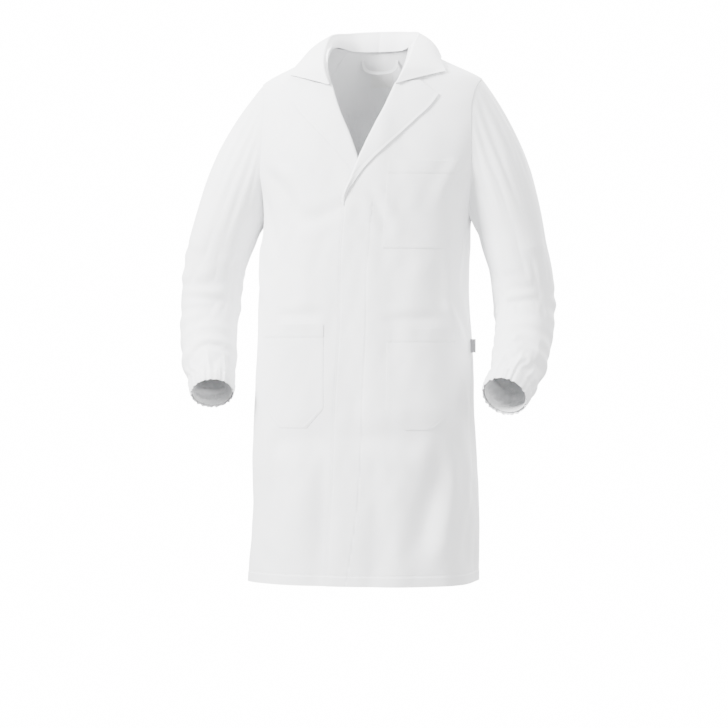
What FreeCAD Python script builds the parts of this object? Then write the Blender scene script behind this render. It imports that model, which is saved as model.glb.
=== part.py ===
import FreeCAD, Part
import math
import os

# White laboratory coat, men's size L, hanging as worn, fronts closed by a
# concealed placket.  Millimetres.  +Z up, the front faces -Y, +X is the
# wearer's left.  The origin is the neck seat: the middle of the neck at the
# height of the back neck seam.  Heights below are counted from the hem and
# dropped by NECK_SEAT_H when a node is written.

# ---------------------------------------------------------------- dimensions
NECK_SEAT_H = 1034.0        # hem to back neck seam
CLOTH = 2.0                 # thickness of a single cloth panel
HEM_HALF_W = 220.0
DOOR_CUT_H = 638.0          # lower fronts swing below this height
UNDERARM_H = 705.0
SHOULDER_H = 965.0
BREAK_H = 735.0             # where the lapel starts to roll
FLY_W = 52.0                # width of the concealed placket
FLY_STEP = 9.0              # how far the upper front stands off the lower one
STUD_H = (727.0, 535.0, 353.0, 178.0)   # press studs, heights above the hem
STUD_R = 6.0
POCKET_GAP = 12.0
LEAN = 18.0                 # sideways sway of the shoulders
SLEEVE_CLEAR = 1.2
DOOR_CLEAR = 3.0

HALF_W = [(0, HEM_HALF_W), (638, 203.0), (700, 202.0), (740, 209.0), (790, 229.0), (840, 243.0),
          (890, 247.0), (930, 240.0), (965, 215.0), (1000, 145.5), (1034, 78.0)]
DEPTH_F = [(0, 150), (230, 146), (360, 142), (560, 138), (680, 137), (760, 137), (850, 128),
           (900, 116), (965, 92), (1000, 78), (1034, 64)]
DEPTH_B = [(0, 150), (230, 142), (400, 134), (560, 127), (680, 126), (760, 131), (850, 130),
           (930, 114), (965, 102), (1000, 86), (1034, 68)]
EXPO = [(0, 2.5), (640, 2.5), (760, 2.35), (880, 2.1), (1034, 2.0)]
# the lines of the left front, x from the middle; the right front mirrors them
EDGE_X = [(0, -44.0), (185, -33.0), (350, -29.0), (490, -21.0), (650, -20.0), (735, -20.0)]
ROLL_X = [(735, -20.0), (770, -9.0), (806, 3.0), (850, 21.0), (897, 43.0), (948, 62.0),
          (985, 74.0), (1015, 78.0), (1034, 77.0)]
LAPEL_X = [(735, -18.0), (763, 2.0), (794, 26.0), (820, 46.0), (850, 68.0), (868, 82.0),
           (885, 104.0), (908, 130.0), (926, 139.0)]
ARM_X = [(705, 201.5), (735, 203.0), (785, 205.0), (860, 203.0), (918, 203.0), (945, 208.0), (965, 215.0)]


# ------------------------------------------------------------------ geometry
def tab(t, z):
    n = len(t)
    if z <= t[0][0]:
        (z0, v0), (z1, v1) = t[0], t[1]
        return v0 + (v1 - v0) / (z1 - z0) * (z - z0)
    if z >= t[-1][0]:
        (z0, v0), (z1, v1) = t[-2], t[-1]
        return v1 + (v1 - v0) / (z1 - z0) * (z - z1)
    i = 0
    while z > t[i + 1][0]:
        i += 1
    x0, y0 = t[i]
    x1, y1 = t[i + 1]
    h = float(x1 - x0)

    def tan(k):
        if k <= 0:
            return (t[1][1] - t[0][1]) / float(t[1][0] - t[0][0])
        if k >= n - 1:
            return (t[-1][1] - t[-2][1]) / float(t[-1][0] - t[-2][0])
        ha = float(t[k][0] - t[k - 1][0])
        hb = float(t[k + 1][0] - t[k][0])
        return ((t[k][1] - t[k - 1][1]) / ha * hb + (t[k + 1][1] - t[k][1]) / hb * ha) / (ha + hb)
    m0, m1 = tan(i), tan(i + 1)
    s = (z - x0) / h
    return ((2 * s**3 - 3 * s * s + 1) * y0 + (s**3 - 2 * s * s + s) * h * m0
            + (-2 * s**3 + 3 * s * s) * y1 + (s**3 - s * s) * h * m1)


def sstep(t):
    t = max(0.0, min(1.0, t))
    return t * t * (3 - 2 * t)


def lean(z):
    return LEAN * sstep((z - 560.0) / 320.0)


def raw(phi, z):
    a, n = tab(HALF_W, z), tab(EXPO, z)
    s, c = math.sin(math.radians(phi)), math.cos(math.radians(phi))
    b = tab(DEPTH_F if c >= 0 else DEPTH_B, z)
    r = ((abs(s) / a) ** n + (abs(c) / b) ** n) ** (-1.0 / n)
    return (r * s + lean(z), -r * c, z)


def body(phi, z, off=0.0):
    p = raw(phi, z)
    a, b = raw(phi - 0.4, z), raw(phi + 0.4, z)
    c, d = raw(phi, z - 1.5), raw(phi, z + 1.5)
    u = [b[i] - a[i] for i in range(3)]
    v = [d[i] - c[i] for i in range(3)]
    n = [u[1] * v[2] - u[2] * v[1], u[2] * v[0] - u[0] * v[2], u[0] * v[1] - u[1] * v[0]]
    l = math.sqrt(sum(k * k for k in n))
    return tuple(p[i] + off * n[i] / l for i in range(3))


def phi_at(x, z, front=True):
    """angle on the body at height z of the point x from the middle"""
    a, n = tab(HALF_W, z), tab(EXPO, z)
    b = tab(DEPTH_F if front else DEPTH_B, z)
    t = max(-1.0, min(1.0, x / a))
    y = b * (1.0 - abs(t) ** n) ** (1.0 / n)
    ph = math.degrees(math.atan2(t * a, y))
    if front:
        return ph
    return (180.0 - ph) if ph >= 0 else (-180.0 - ph)


def vec(p):
    return FreeCAD.Vector(p[0], p[1], p[2] - NECK_SEAT_H)


def slab(go, gi, closed=False):
    """thin solid between two point grids [row][column]; closed joins the columns"""
    faces = []
    surf = []
    for g in (go, gi):
        s = Part.BSplineSurface()
        s.interpolate([[vec(p) for p in row] for row in g])
        surf.append(s)
        faces.append(Part.Face(s))
    so, si = surf
    u0, u1, v0, v1 = so.bounds()
    w0, w1, q0, q1 = si.bounds()
    pairs = [(so.uIso(u0), si.uIso(w0)), (so.uIso(u1), si.uIso(w1))]
    if not closed:
        pairs += [(so.vIso(v0), si.vIso(q0)), (so.vIso(v1), si.vIso(q1))]
    for a, b in pairs:
        faces.append(Part.makeRuledSurface(a.toShape(), b.toShape()))
    sh = Part.makeShell(faces)
    sh.sewShape()
    if sh.ShapeType != "Shell":
        sh = sh.Shells[0]
    sol = Part.makeSolid(sh)
    if sol.Volume < 0:
        sol.reverse()
    if not sol.isValid():
        sol.fix(0.05, 0.05, 0.05)
    return sol


def panel(left, right, lo, hi, nu, nv, out, thick=CLOTH):
    """cloth between two edges: left(s), right(s) -> (phi, z) for s in 0..1;
    out(x, z, u, v) is the stand-off of the outer face from the body"""
    go, gi = [], []
    for j in range(nv + 1):
        s = lo + (hi - lo) * j / nv
        a, b = left(s), right(s)
        ro, ri = [], []
        for i in range(nu + 1):
            f = i / nu
            ph, z = a[0] + (b[0] - a[0]) * f, a[1] + (b[1] - a[1]) * f
            x = raw(ph, z)[0] - lean(z)
            o = out(x, z, f, (s - lo) / (hi - lo))
            ro.append(body(ph, z, o))
            ri.append(body(ph, z, o - thick))
        go.append(ro)
        gi.append(ri)
    return slab(go, gi)


def step_left(x, z):
    """stand-off of the upper (wearer's left) front over the placket"""
    return FLY_STEP * (1.0 - sstep((x - 36.0) / 60.0))


def cut_h(x):
    """door cut, square to the door's hinge line"""
    slope = (HEM_HALF_W - 203.0) / 638.0
    return DOOR_CUT_H + (abs(x) - 203.0) * slope


nodes = {}
SIDE = 89.6        # fronts and back meet here, a little clear of each other

# ---------------------------------------------------------------- back panels
def back(sign):
    def a(s):
        return (sign * 90.4, 2.0 + s * (UNDERARM_H - 2.0))

    def b(s):
        return (sign * 179.9, 2.0 + s * (UNDERARM_H - 2.0))
    low = panel(a, b, 0.0, 1.0, 14, 18, lambda x, z, u, v: 0.0)

    def c(s):
        z = UNDERARM_H + s * (SHOULDER_H - UNDERARM_H)
        return (sign * (abs(phi_at(tab(ARM_X, z), z, False)) if s > 0.0 else 90.4), z)

    def d(s):
        return (sign * 179.9, UNDERARM_H + s * (SHOULDER_H - UNDERARM_H))
    mid = panel(c, d, 0.0, 0.985, 14, 16, lambda x, z, u, v: 0.0)
    zt = UNDERARM_H + 0.985 * (SHOULDER_H - UNDERARM_H)

    def e(s):
        z = zt + s * (1034.0 - zt)
        z0 = max(0.0, 1.0 - s * 5.0)
        return (sign * (91.0 + (abs(phi_at(tab(ARM_X, zt), zt, False)) - 91.0) * z0), z)

    def f(s):
        return (sign * 179.9, zt + s * (1034.0 - zt))
    top = panel(e, f, 0.0, 1.0, 14, 10, lambda x, z, u, v: 0.0)
    return [low, mid, top]


for name, sg in (("back_left", 1), ("back_right", -1)):
    parts = back(sg)
    nodes[name] = parts


# --------------------------------------------------------------- upper fronts
def front_upper(sign):
    off = (lambda x, z, u, v: step_left(x, z)) if sign > 0 else (lambda x, z, u, v: 0.0)
    # band between the door cut and the underarm
    def inner(z):
        x = tab(EDGE_X, z) if z < BREAK_H else tab(ROLL_X, z)
        return sign * x

    def a(s):
        z0 = cut_h(20.0) + 0.5 * DOOR_CLEAR
        z = z0 + s * (UNDERARM_H - z0)
        return (phi_at(inner(z), z), z)

    def b(s):
        z0 = DOOR_CUT_H + 0.5 * DOOR_CLEAR
        return (sign * SIDE, z0 + s * (UNDERARM_H - z0))
    low = panel(a, b, 0.0, 1.0, 14, 4, off)

    def c(s):
        z = UNDERARM_H + s * (SHOULDER_H - UNDERARM_H)
        return (phi_at(inner(z), z), z)

    def d(s):
        z = UNDERARM_H + s * (SHOULDER_H - UNDERARM_H)
        return (sign * (phi_at(tab(ARM_X, z), z) if s > 0.0 else SIDE), z)
    mid = panel(c, d, 0.0, 0.985, 14, 16, off)
    zt = UNDERARM_H + 0.985 * (SHOULDER_H - UNDERARM_H)

    def e(s):
        z = zt + s * (1030.0 - zt)
        return (phi_at(inner(z), z), z)

    def f(s):
        z = zt + s * (1030.0 - zt)
        z0 = max(0.0, 1.0 - s * 5.0)
        return (sign * (89.0 + (phi_at(tab(ARM_X, zt), zt) - 89.0) * z0), z)
    top = panel(e, f, 0.0, 1.0, 10, 10, off)
    return [low, mid, top]


for name, sg in (("front_left_upper", 1), ("front_right_upper", -1)):
    nodes[name] = front_upper(sg)


# ------------------------------------------------- lower fronts (they swing)
def front_lower(sign):
    off = (lambda x, z, u, v: step_left(x, z)) if sign > 0 else (lambda x, z, u, v: 0.0)

    def a(s):
        z = 2.0 + s * (cut_h(20.0) - 0.5 * DOOR_CLEAR - 2.0)
        return (phi_at(sign * tab(EDGE_X, z), z), z)

    def b(s):
        z = 2.0 + s * (DOOR_CUT_H - 0.5 * DOOR_CLEAR - 2.0)
        return (sign * SIDE, z)
    return panel(a, b, 0.0, 1.0, 18, 16, off)


nodes["front_left_lower"] = [front_lower(1)]
nodes["front_right_lower"] = [front_lower(-1)]


# ------------------------------------------------------------ concealed placket
def placket(z0, z1, off_out):
    def a(s):
        z = z0 + s * (z1 - z0)
        x = tab(EDGE_X, z) + 3.0
        return (phi_at(x, z), z)

    def b(s):
        z = z0 + s * (z1 - z0)
        x = tab(EDGE_X, z) + FLY_W
        return (phi_at(x, z), z)
    return panel(a, b, 0.0, 1.0, 6, 12, lambda x, z, u, v: off_out, 1.4)


def disc(z, x, off0, off1, r, hole=0.0):
    ph = phi_at(x, z)
    p0, p1 = vec(body(ph, z, off0)), vec(body(ph, z, off1))
    ax = p1.sub(p0)
    h = ax.Length
    c = Part.makeCylinder(r, h, p0, ax)
    if hole > 0.0:
        c = c.cut(Part.makeCylinder(hole, h + 2.0, p0.sub(ax.multiply(1.0 / h)), vec(body(ph, z, off1)).sub(p0)))
    return c


def stud_x(z):
    return tab(EDGE_X, z) + 24.0


def sockets(zs):
    """socket half on the placket: a ring towards the body and a flat cap outside"""
    out = []
    for z in zs:
        ring = disc(z, stud_x(z), 3.3, 4.45, STUD_R, 2.6)
        cap = disc(z, stud_x(z), 5.95, 6.65, STUD_R - 0.6)
        stem = disc(z, stud_x(z), 4.4, 5.95, 2.0)
        lid = disc(z, stud_x(z), 4.0, 4.4, 3.2)
        out.append(ring.fuse([lid, stem, cap]).removeSplitter())
    return out


def balls(zs):
    """stud half on the lower front: a washer each side of the cloth and a ball"""
    out = []
    for z in zs:
        base = disc(z, stud_x(z), 0.05, 0.85, STUD_R)
        post = disc(z, stud_x(z), -2.05, 2.75, 1.9)
        back_w = disc(z, stud_x(z), -2.75, -2.05, STUD_R - 0.6)
        out.append(base.fuse([post, back_w]).removeSplitter())
    return out


def pierce(shapes, z, r):
    ph = phi_at(stud_x(z), z)
    p0, p1 = vec(body(ph, z, -6.0)), vec(body(ph, z, 6.5))
    hole = Part.makeCylinder(r, p1.sub(p0).Length, p0, p1.sub(p0))
    return [s.cut(hole) if s.BoundBox.intersect(hole.BoundBox) else s for s in shapes]


cut20 = cut_h(20.0)
nodes["placket_upper"] = [placket(cut20 + 1.5, 742.0, 5.9)]
nodes["placket_lower"] = [placket(8.0, cut20 - 1.5, 5.9)]
nodes["stud_socket_top"] = sockets(STUD_H[:1])
nodes["stud_ball_top"] = balls(STUD_H[:1])
nodes["stud_sockets"] = sockets(STUD_H[1:])
nodes["stud_balls"] = balls(STUD_H[1:])
nodes["placket_upper"] = pierce(nodes["placket_upper"], STUD_H[0], 2.05)
nodes["front_right_upper"] = pierce(nodes["front_right_upper"][:2], STUD_H[0], 1.95) + nodes["front_right_upper"][2:]
for z in STUD_H[1:]:
    nodes["placket_lower"] = pierce(nodes["placket_lower"], z, 2.05)
    nodes["front_right_lower"] = pierce(nodes["front_right_lower"], z, 1.95)


# -------------------------------------------------------------------- pockets
def pocket(sign, xa, xb, z0, z1, base):
    """patch pocket: sewn at the sides and the bottom, gaping in between"""
    def a(s):
        z = z0 + s * (z1 - z0)
        return (phi_at(sign * xa(z), z), z)

    def b(s):
        z = z0 + s * (z1 - z0)
        return (phi_at(sign * xb(z), z), z)

    def off(x, z, u, v):
        side = min(1.0, u / 0.2, (1.0 - u) / 0.2)
        low = min(1.0, v / 0.2)
        return base(x, z) + 1.5 + CLOTH + POCKET_GAP * sstep(side) * sstep(low)
    return panel(a, b, 0.0, 1.0, 30, 22, off, 1.8)


flat = lambda x, z: 0.0
nodes["breast_pocket"] = [pocket(1, lambda z: 57.0 + 0.012 * (800 - z), lambda z: 183.0, 632.0 + 9.0, 800.0,
                                 lambda x, z: step_left(x, z))]
nodes["hip_pocket_left"] = [pocket(1, lambda z: 70.0, lambda z: 190.0, 292.0, 486.0, lambda x, z: step_left(x, z))]
nodes["hip_pocket_right"] = [pocket(-1, lambda z: 52.0, lambda z: 174.0, 296.0, 494.0, flat)]


# --------------------------------------------------------------------- lapels
def lapel(sign):
    base = (lambda x, z: step_left(x, z)) if sign > 0 else flat

    def a(s):
        z = 752.0 + s * (948.0 - 752.0)
        return (phi_at(sign * (tab(ROLL_X, z) + 1.0), z), z)

    def b(s):
        z = 746.0 + s * (926.0 - 746.0)
        return (phi_at(sign * (tab(LAPEL_X, z) + 2.0 * (1.0 - s)), z), z)

    def off(x, z, u, v):
        return base(x, z) + 0.5 + CLOTH + 2.0 * math.sin(math.pi * min(1.0, max(0.0, 1.0 - u)) * 0.8) * min(1.0, v * 4.0)
    return panel(a, b, 0.0, 1.0, 10, 16, off)


nodes["lapel_left"] = [lapel(1)]
nodes["lapel_right"] = [lapel(-1)]

# --------------------------------------------------------------------- collar
def ell(phi, a, b, z):
    s, c = math.sin(math.radians(phi)), math.cos(math.radians(phi))
    return (a * s + LEAN, -b * c, z)


def fold_pt(phi):
    """top edge of the stand: rises from the side of the neck to the back"""
    k = sstep((abs(phi) - 60.0) / 120.0)
    return (85.0 * math.sin(math.radians(phi)) + LEAN, -(70.0 + 6.0 * k) * math.cos(math.radians(phi)), 1046.0 + 26.0 * k)


def stand():
    go, gi = [], []
    for j in range(5):
        f = j / 4.0
        ro, ri = [], []
        for i in range(33):
            ph = 68.0 + (292.0 - 68.0) * i / 32.0
            p = body(ph, 1034.0, -2.6)
            q = fold_pt(ph if ph <= 180.0 else ph - 360.0)
            m = [p[k] + (q[k] - p[k]) * f for k in range(3)]
            m[2] += 1.2
            cx = LEAN
            d = math.hypot(m[0] - cx, m[1])
            e = ((m[0] - cx) / d, m[1] / d)
            ro.append(tuple(m))
            ri.append((m[0] - 2.2 * e[0], m[1] - 2.2 * e[1], m[2]))
        go.append(ro)
        gi.append(ri)
    return slab(go, gi)


nodes["collar_stand"] = [stand()]

# collar fall: stations from the wearer's left point round the back; inner
# (fold) point and outer (style line) point of each
def leaf_station(k):
    """k -1..1: -1 and 1 are the collar points, 0 the centre back"""
    sg = 1.0 if k >= 0 else -1.0
    t = abs(k)
    tabx_f = [(0.0, 0.0), (0.3, 55.0), (0.55, 87.0), (0.75, 88.0), (1.0, 66.0)]
    taby_f = [(0.0, 77.0), (0.3, 60.0), (0.55, 10.0), (0.75, -55.0), (1.0, -104.0)]
    tabz_f = [(0.0, 1074.0), (0.3, 1070.0), (0.55, 1056.0), (0.75, 1010.0), (1.0, 957.0)]
    tabx_e = [(0.0, 0.0), (0.3, 88.0), (0.55, 136.0), (0.75, 150.0), (1.0, 152.0)]
    tabz_e = [(0.0, 1018.0), (0.3, 1010.0), (0.55, 1010.0), (0.75, 992.0), (1.0, 972.0)]
    F = (sg * tab(tabx_f, t) + LEAN, tab(taby_f, t), tab(tabz_f, t))
    xe, ze = tab(tabx_e, t), tab(tabz_e, t)
    back_side = t < 0.55
    a = tab(HALF_W, ze)
    # stay on the body; the crest of the shoulder limits the height
    zmax = 1034.0 - (xe - 78.0) / (215.0 - 78.0) * 69.0 if xe > 78.0 else 1034.0
    ze = min(ze, zmax - 0.3)
    ph = phi_at(min(xe, a - 0.01), ze, not back_side)
    E = body(sg * abs(ph), ze, 5.0)
    return F, E


def leaf(side):
    go, gi = [], []
    nk = 28
    for j in range(7):
        f = j / 6.0
        ro, ri = [], []
        for i in range(nk + 1):
            k = -1.0 + 2.0 * i / nk
            F, E = leaf_station(k)
            m = [F[q] + (E[q] - F[q]) * f for q in range(3)]
            h = 9.0 * math.sin(math.pi * f) * (0.35 + 0.65 * math.cos(0.5 * math.pi * abs(k)))
            cx = LEAN
            d = math.hypot(m[0] - cx, m[1])
            e = ((m[0] - cx) / d, m[1] / d)
            up = 0.6
            m = [m[0] + e[0] * h, m[1] + e[1] * h, m[2] + up * h + 4.0]
            ro.append(tuple(m))
            ri.append((m[0] - 1.3 * e[0], m[1] - 1.3 * e[1], m[2] - 1.4))
        go.append(ro)
        gi.append(ri)
    return slab(go, gi)


nodes["collar_fall"] = [leaf(1)]

# --------------------------------------------- back neck facing, label, loop
def facing():
    def a(s):
        z = 925.0 + s * (1028.0 - 925.0)
        return (132.0, z)

    def b(s):
        z = 925.0 + s * (1028.0 - 925.0)
        return (228.0, z)
    return panel(a, b, 0.0, 1.0, 14, 8, lambda x, z, u, v: -2.4, 1.2)


nodes["neck_facing"] = [facing()]


def patch_inside(ph0, ph1, z0, z1, off, thick):
    return panel(lambda s: (ph0, z0 + s * (z1 - z0)), lambda s: (ph1, z0 + s * (z1 - z0)), 0.0, 1.0, 4, 3,
                 lambda x, z, u, v: off, thick)


nodes["neck_label"] = [patch_inside(164.0, 196.0, 962.0, 1000.0, -3.8, 0.8)]

LOOP_Z, LOOP_Y = 1015.0, 69.8
def loop():
    """hanger loop: a flat tape in a shallow U, hanging from its two sewn ends"""
    w, t = 5.0, 1.2
    pts = [(-34.0, 0.0), (-31.0, -16.0), (-20.0, -23.0), (0.0, -25.0), (20.0, -23.0), (31.0, -16.0), (34.0, 0.0)]
    go, gi = [], []
    for j in range(3):
        f = j / 2.0
        ro, ri = [], []
        for i, (x, dz) in enumerate(pts):
            a = pts[max(0, i - 1)]
            b = pts[min(len(pts) - 1, i + 1)]
            tx, tz = b[0] - a[0], b[1] - a[1]
            l = math.hypot(tx, tz)
            nx, nz = -tz / l, tx / l
            k = (f - 0.5) * w
            y = LOOP_Y - 3.0 * (1.0 - abs(x) / 34.0)
            ro.append((x + nx * k + LEAN, y, LOOP_Z + dz + nz * k))
            ri.append((x + nx * k + LEAN, y - t, LOOP_Z + dz + nz * k))
        go.append(ro)
        gi.append(ri)
    return slab(go, gi)


nodes["hanger_loop"] = [loop()]

# --------------------------------------------------------- side label (blank)
def side_label():
    x0 = raw(90.0, 455.0)[0] + 0.6
    go, gi = [], []
    for j in range(2):
        z = 440.0 + 26.0 * j
        xo = raw(90.0, z)[0] + 1.2
        go.append([(xo, 1.0, z), (xo + 11.0, 1.0, z)])
        gi.append([(xo, 0.0, z), (xo + 11.0, 0.0, z)])
    pts = [vec(go[0][0]), vec(go[0][1]), vec(go[1][1]), vec(go[1][0]), vec(go[0][0])]
    return Part.Face(Part.makePolygon(pts)).extrude(FreeCAD.Vector(0, -1.0, 0))


nodes["side_label"] = [side_label()]

# -------------------------------------------------------------------- sleeves
# stations: centre x, y, z, half width, half depth, unit direction is worked out
ARM_L = [(296.0, 4.0, 640.0, 60.0, 64.0), (306.0, 8.0, 595.0, 60.0, 62.0), (310.0, 8.0, 550.0, 60.0, 60.0),
         (314.0, 0.0, 510.0, 58.0, 58.0), (314.0, -22.0, 468.0, 55.0, 56.0), (311.0, -52.0, 430.0, 53.0, 54.0),
         (305.0, -88.0, 396.0, 50.0, 50.0), (298.0, -118.0, 374.0, 46.0, 46.0), (293.0, -140.0, 358.0, 43.0, 43.0)]
ARM_R = [(-288.0, 4.0, 650.0, 62.0, 64.0), (-301.0, 8.0, 606.0, 61.0, 62.0), (-306.0, 8.0, 560.0, 60.0, 60.0),
         (-308.0, 0.0, 516.0, 58.0, 58.0), (-305.0, -20.0, 472.0, 56.0, 56.0), (-297.0, -46.0, 432.0, 53.0, 54.0),
         (-287.0, -74.0, 398.0, 48.0, 48.0), (-280.0, -92.0, 378.0, 44.0, 44.0), (-276.0, -106.0, 362.0, 41.0, 41.0)]


def spline1(vals, s):
    n = len(vals)
    t = [(float(i), vals[i]) for i in range(n)]
    return tab(t, max(0.0, min(n - 1.0, s)))


def arm_pt(side, t, s, off=0.0):
    """t degrees round the sleeve (0 outer, 90 front, 180 inner), s along it:
    -1..0 is the sleeve head from the armhole, 0..8 the tube"""
    st = ARM_L if side > 0 else ARM_R
    ct, sn = math.cos(math.radians(t)), math.sin(math.radians(t))

    def ring(s):
        c = [spline1([q[i] for q in st], s) for i in range(3)]
        e = 0.05
        d = [spline1([q[i] for q in st], min(8.0, s + e)) - spline1([q[i] for q in st], max(0.0, s - e)) for i in range(3)]
        l = math.sqrt(sum(k * k for k in d))
        d = [k / l for k in d]
        # width axis: horizontal-ish, away from the body, square to d
        w = [side - d[0] * d[0] * side, -d[1] * d[0] * side, -d[2] * d[0] * side]
        l = math.sqrt(sum(k * k for k in w))
        w = [k / l for k in w]
        # depth axis, towards the front
        f = [d[1] * w[2] - d[2] * w[1], d[2] * w[0] - d[0] * w[2], d[0] * w[1] - d[1] * w[0]]
        if f[1] > 0:
            f = [-k for k in f]
        return c, w, f, spline1([q[3] for q in st], s), spline1([q[4] for q in st], s)
    if s >= 0.0:
        c, w, f, hw, hd = ring(s)
        hw += off
        hd += off
        return tuple(c[i] + w[i] * hw * ct + f[i] * hd * sn for i in range(3))
    # sleeve head: armhole loop (k=0) to the first ring (k=1)
    k = 1.0 + s
    zc, hz = 0.5 * (SHOULDER_H + UNDERARM_H), 0.5 * (SHOULDER_H - UNDERARM_H)
    z = zc + hz * ct
    x = tab(ARM_X, z)
    ph = phi_at(x, z, sn >= 0)
    p = raw(ph, z)
    A = (side * (abs(x) + SLEEVE_CLEAR) + lean(z), p[1] * (1.0 + off / 90.0), z + off * ct)
    c, w, f, hw, hd = ring(0.0)
    hw += off
    hd += off
    B = tuple(c[i] + w[i] * hw * ct + f[i] * hd * sn for i in range(3))
    # bow the outer side so that the head is rounded
    bow = math.sin(math.pi * min(1.0, k)) * (0.5 + 0.5 * ct)
    out = [A[i] + (B[i] - A[i]) * k for i in range(3)]
    out[0] += side * 20.0 * bow
    out[2] += 16.0 * bow
    return tuple(out)


def tube(side, s0, s1, ns, off, thick, nt=24):
    """s0(t), s1(t): where the tube starts and ends on each lengthwise line"""
    go, gi = [], []
    for j in range(ns + 1):
        ro, ri = [], []
        for i in range(nt + 1):
            t = 360.0 * (i % nt) / nt
            a, b = s0(t), s1(t)
            s = a + (b - a) * j / ns
            ro.append(arm_pt(side, t, s, off))
            ri.append(arm_pt(side, t, s, off - thick))
        go.append(ro)
        gi.append(ri)
    return go, gi


def tube_halves(side, s0, s1, ns, off, thick):
    """front and back half of a sleeve length, sewn along the two seams"""
    out = []
    for ta, tb in ((0.0, 180.0), (180.0, 360.0)):
        go, gi = [], []
        for j in range(ns + 1):
            ro, ri = [], []
            for i in range(13):
                t = ta + (tb - ta) * i / 12.0
                a, b = s0(t % 360.0), s1(t % 360.0)
                s = a + (b - a) * j / ns
                ro.append(arm_pt(side, t, s, off))
                ri.append(arm_pt(side, t, s, off - thick))
            go.append(ro)
            gi.append(ri)
        out.append(slab(go, gi))
    return out


ELBOW_S = 2.0
CUFF_S = 7.0
for nm, sd in (("left", 1), ("right", -1)):
    st = ARM_L if sd > 0 else ARM_R
    wedge = lambda t: -1.0 + 0.03 * 0.5 * (1.0 - math.cos(math.radians(t)))
    # the elbow gap is a bow tie: none at the hinge line, widest front and back
    up_end = lambda t: ELBOW_S - 0.02 - (0.57 if math.sin(math.radians(t)) > 0 else 0.37) * abs(math.sin(math.radians(t)))
    lo_start = lambda t: ELBOW_S + 0.02 + (0.57 if math.sin(math.radians(t)) > 0 else 0.37) * abs(math.sin(math.radians(t)))
    nodes["sleeve_head_" + nm] = tube_halves(sd, wedge, lambda t: 0.0, 6, 0.0, CLOTH)
    nodes["upper_sleeve_" + nm] = tube_halves(sd, lambda t: 0.0, up_end, 6, 0.0, CLOTH)
    nodes["forearm_sleeve_" + nm] = tube_halves(sd, lo_start, lambda t: CUFF_S, 12, 0.0, CLOTH)
    nodes["cuff_casing_" + nm] = tube_halves(sd, lambda t: CUFF_S, lambda t: 8.0, 4, 0.0, CLOTH)
    nodes["cuff_elastic_" + nm] = tube_halves(sd, lambda t: CUFF_S + 0.2, lambda t: 7.8, 3, -2.6, 1.4)

# --------------------------------------------------------------------- export
os.makedirs("parts", exist_ok=True)
for name in sorted(nodes):
    shapes = nodes[name]
    solids = []
    for s in shapes:
        solids += s.Solids
    shape = solids[0] if len(solids) == 1 else Part.makeCompound(solids)
    bad = [i for i, s in enumerate(solids) if not s.isValid()]
    print("%-22s solids %d volume %.0f%s" % (name, len(solids), sum(s.Volume for s in solids),
                                             "  INVALID %s" % bad if bad else ""))
    shape.exportStep("parts/%s.step" % name)
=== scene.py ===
import bpy, math
import numpy as np
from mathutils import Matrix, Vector


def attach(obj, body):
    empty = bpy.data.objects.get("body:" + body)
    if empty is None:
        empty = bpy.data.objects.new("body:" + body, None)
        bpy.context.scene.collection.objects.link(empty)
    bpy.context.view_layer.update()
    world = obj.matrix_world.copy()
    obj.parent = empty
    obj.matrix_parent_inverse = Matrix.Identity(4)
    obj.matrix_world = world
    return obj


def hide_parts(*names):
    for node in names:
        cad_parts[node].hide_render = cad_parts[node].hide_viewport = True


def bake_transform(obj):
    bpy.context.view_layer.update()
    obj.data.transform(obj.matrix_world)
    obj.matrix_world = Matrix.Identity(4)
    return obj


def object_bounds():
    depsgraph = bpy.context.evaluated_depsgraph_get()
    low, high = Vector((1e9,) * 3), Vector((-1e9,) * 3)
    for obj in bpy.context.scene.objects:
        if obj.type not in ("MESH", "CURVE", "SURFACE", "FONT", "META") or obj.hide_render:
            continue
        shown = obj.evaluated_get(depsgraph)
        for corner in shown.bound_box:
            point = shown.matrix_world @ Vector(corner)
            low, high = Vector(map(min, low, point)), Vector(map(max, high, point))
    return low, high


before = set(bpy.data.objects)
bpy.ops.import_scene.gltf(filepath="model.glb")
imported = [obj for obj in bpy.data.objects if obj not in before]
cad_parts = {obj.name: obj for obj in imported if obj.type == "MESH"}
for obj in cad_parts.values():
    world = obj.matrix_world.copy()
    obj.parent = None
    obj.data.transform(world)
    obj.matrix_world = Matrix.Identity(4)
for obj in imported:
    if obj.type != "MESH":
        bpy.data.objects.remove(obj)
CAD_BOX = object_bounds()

# A white lab coat, shaped as worn.  All shapes below are worked out in
# millimetres above the hem and written in metres from the neck seat.
SEAT = 1034.0
UNDERARM, SHOULDER, BREAK = 705.0, 965.0, 735.0

HALF_W = [(0, 220.0), (638, 203.0), (700, 202.0), (740, 209.0), (790, 229.0), (840, 243.0),
          (890, 247.0), (930, 240.0), (965, 215.0), (1000, 145.5), (1034, 78.0)]
DEPTH_F = [(0, 150), (230, 146), (360, 142), (560, 138), (680, 137), (760, 137), (850, 128),
           (900, 116), (965, 92), (1000, 78), (1034, 64)]
DEPTH_B = [(0, 150), (230, 142), (400, 134), (560, 127), (680, 126), (760, 131), (850, 130),
           (930, 114), (965, 102), (1000, 86), (1034, 68)]
EXPO = [(0, 2.5), (640, 2.5), (760, 2.35), (880, 2.1), (1034, 2.0)]
EDGE_X = [(0, -44.0), (185, -33.0), (350, -29.0), (490, -21.0), (650, -20.0), (735, -20.0)]
ROLL_X = [(735, -20.0), (770, -9.0), (806, 3.0), (850, 21.0), (897, 43.0), (948, 62.0),
          (985, 74.0), (1015, 78.0), (1034, 77.0)]
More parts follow.
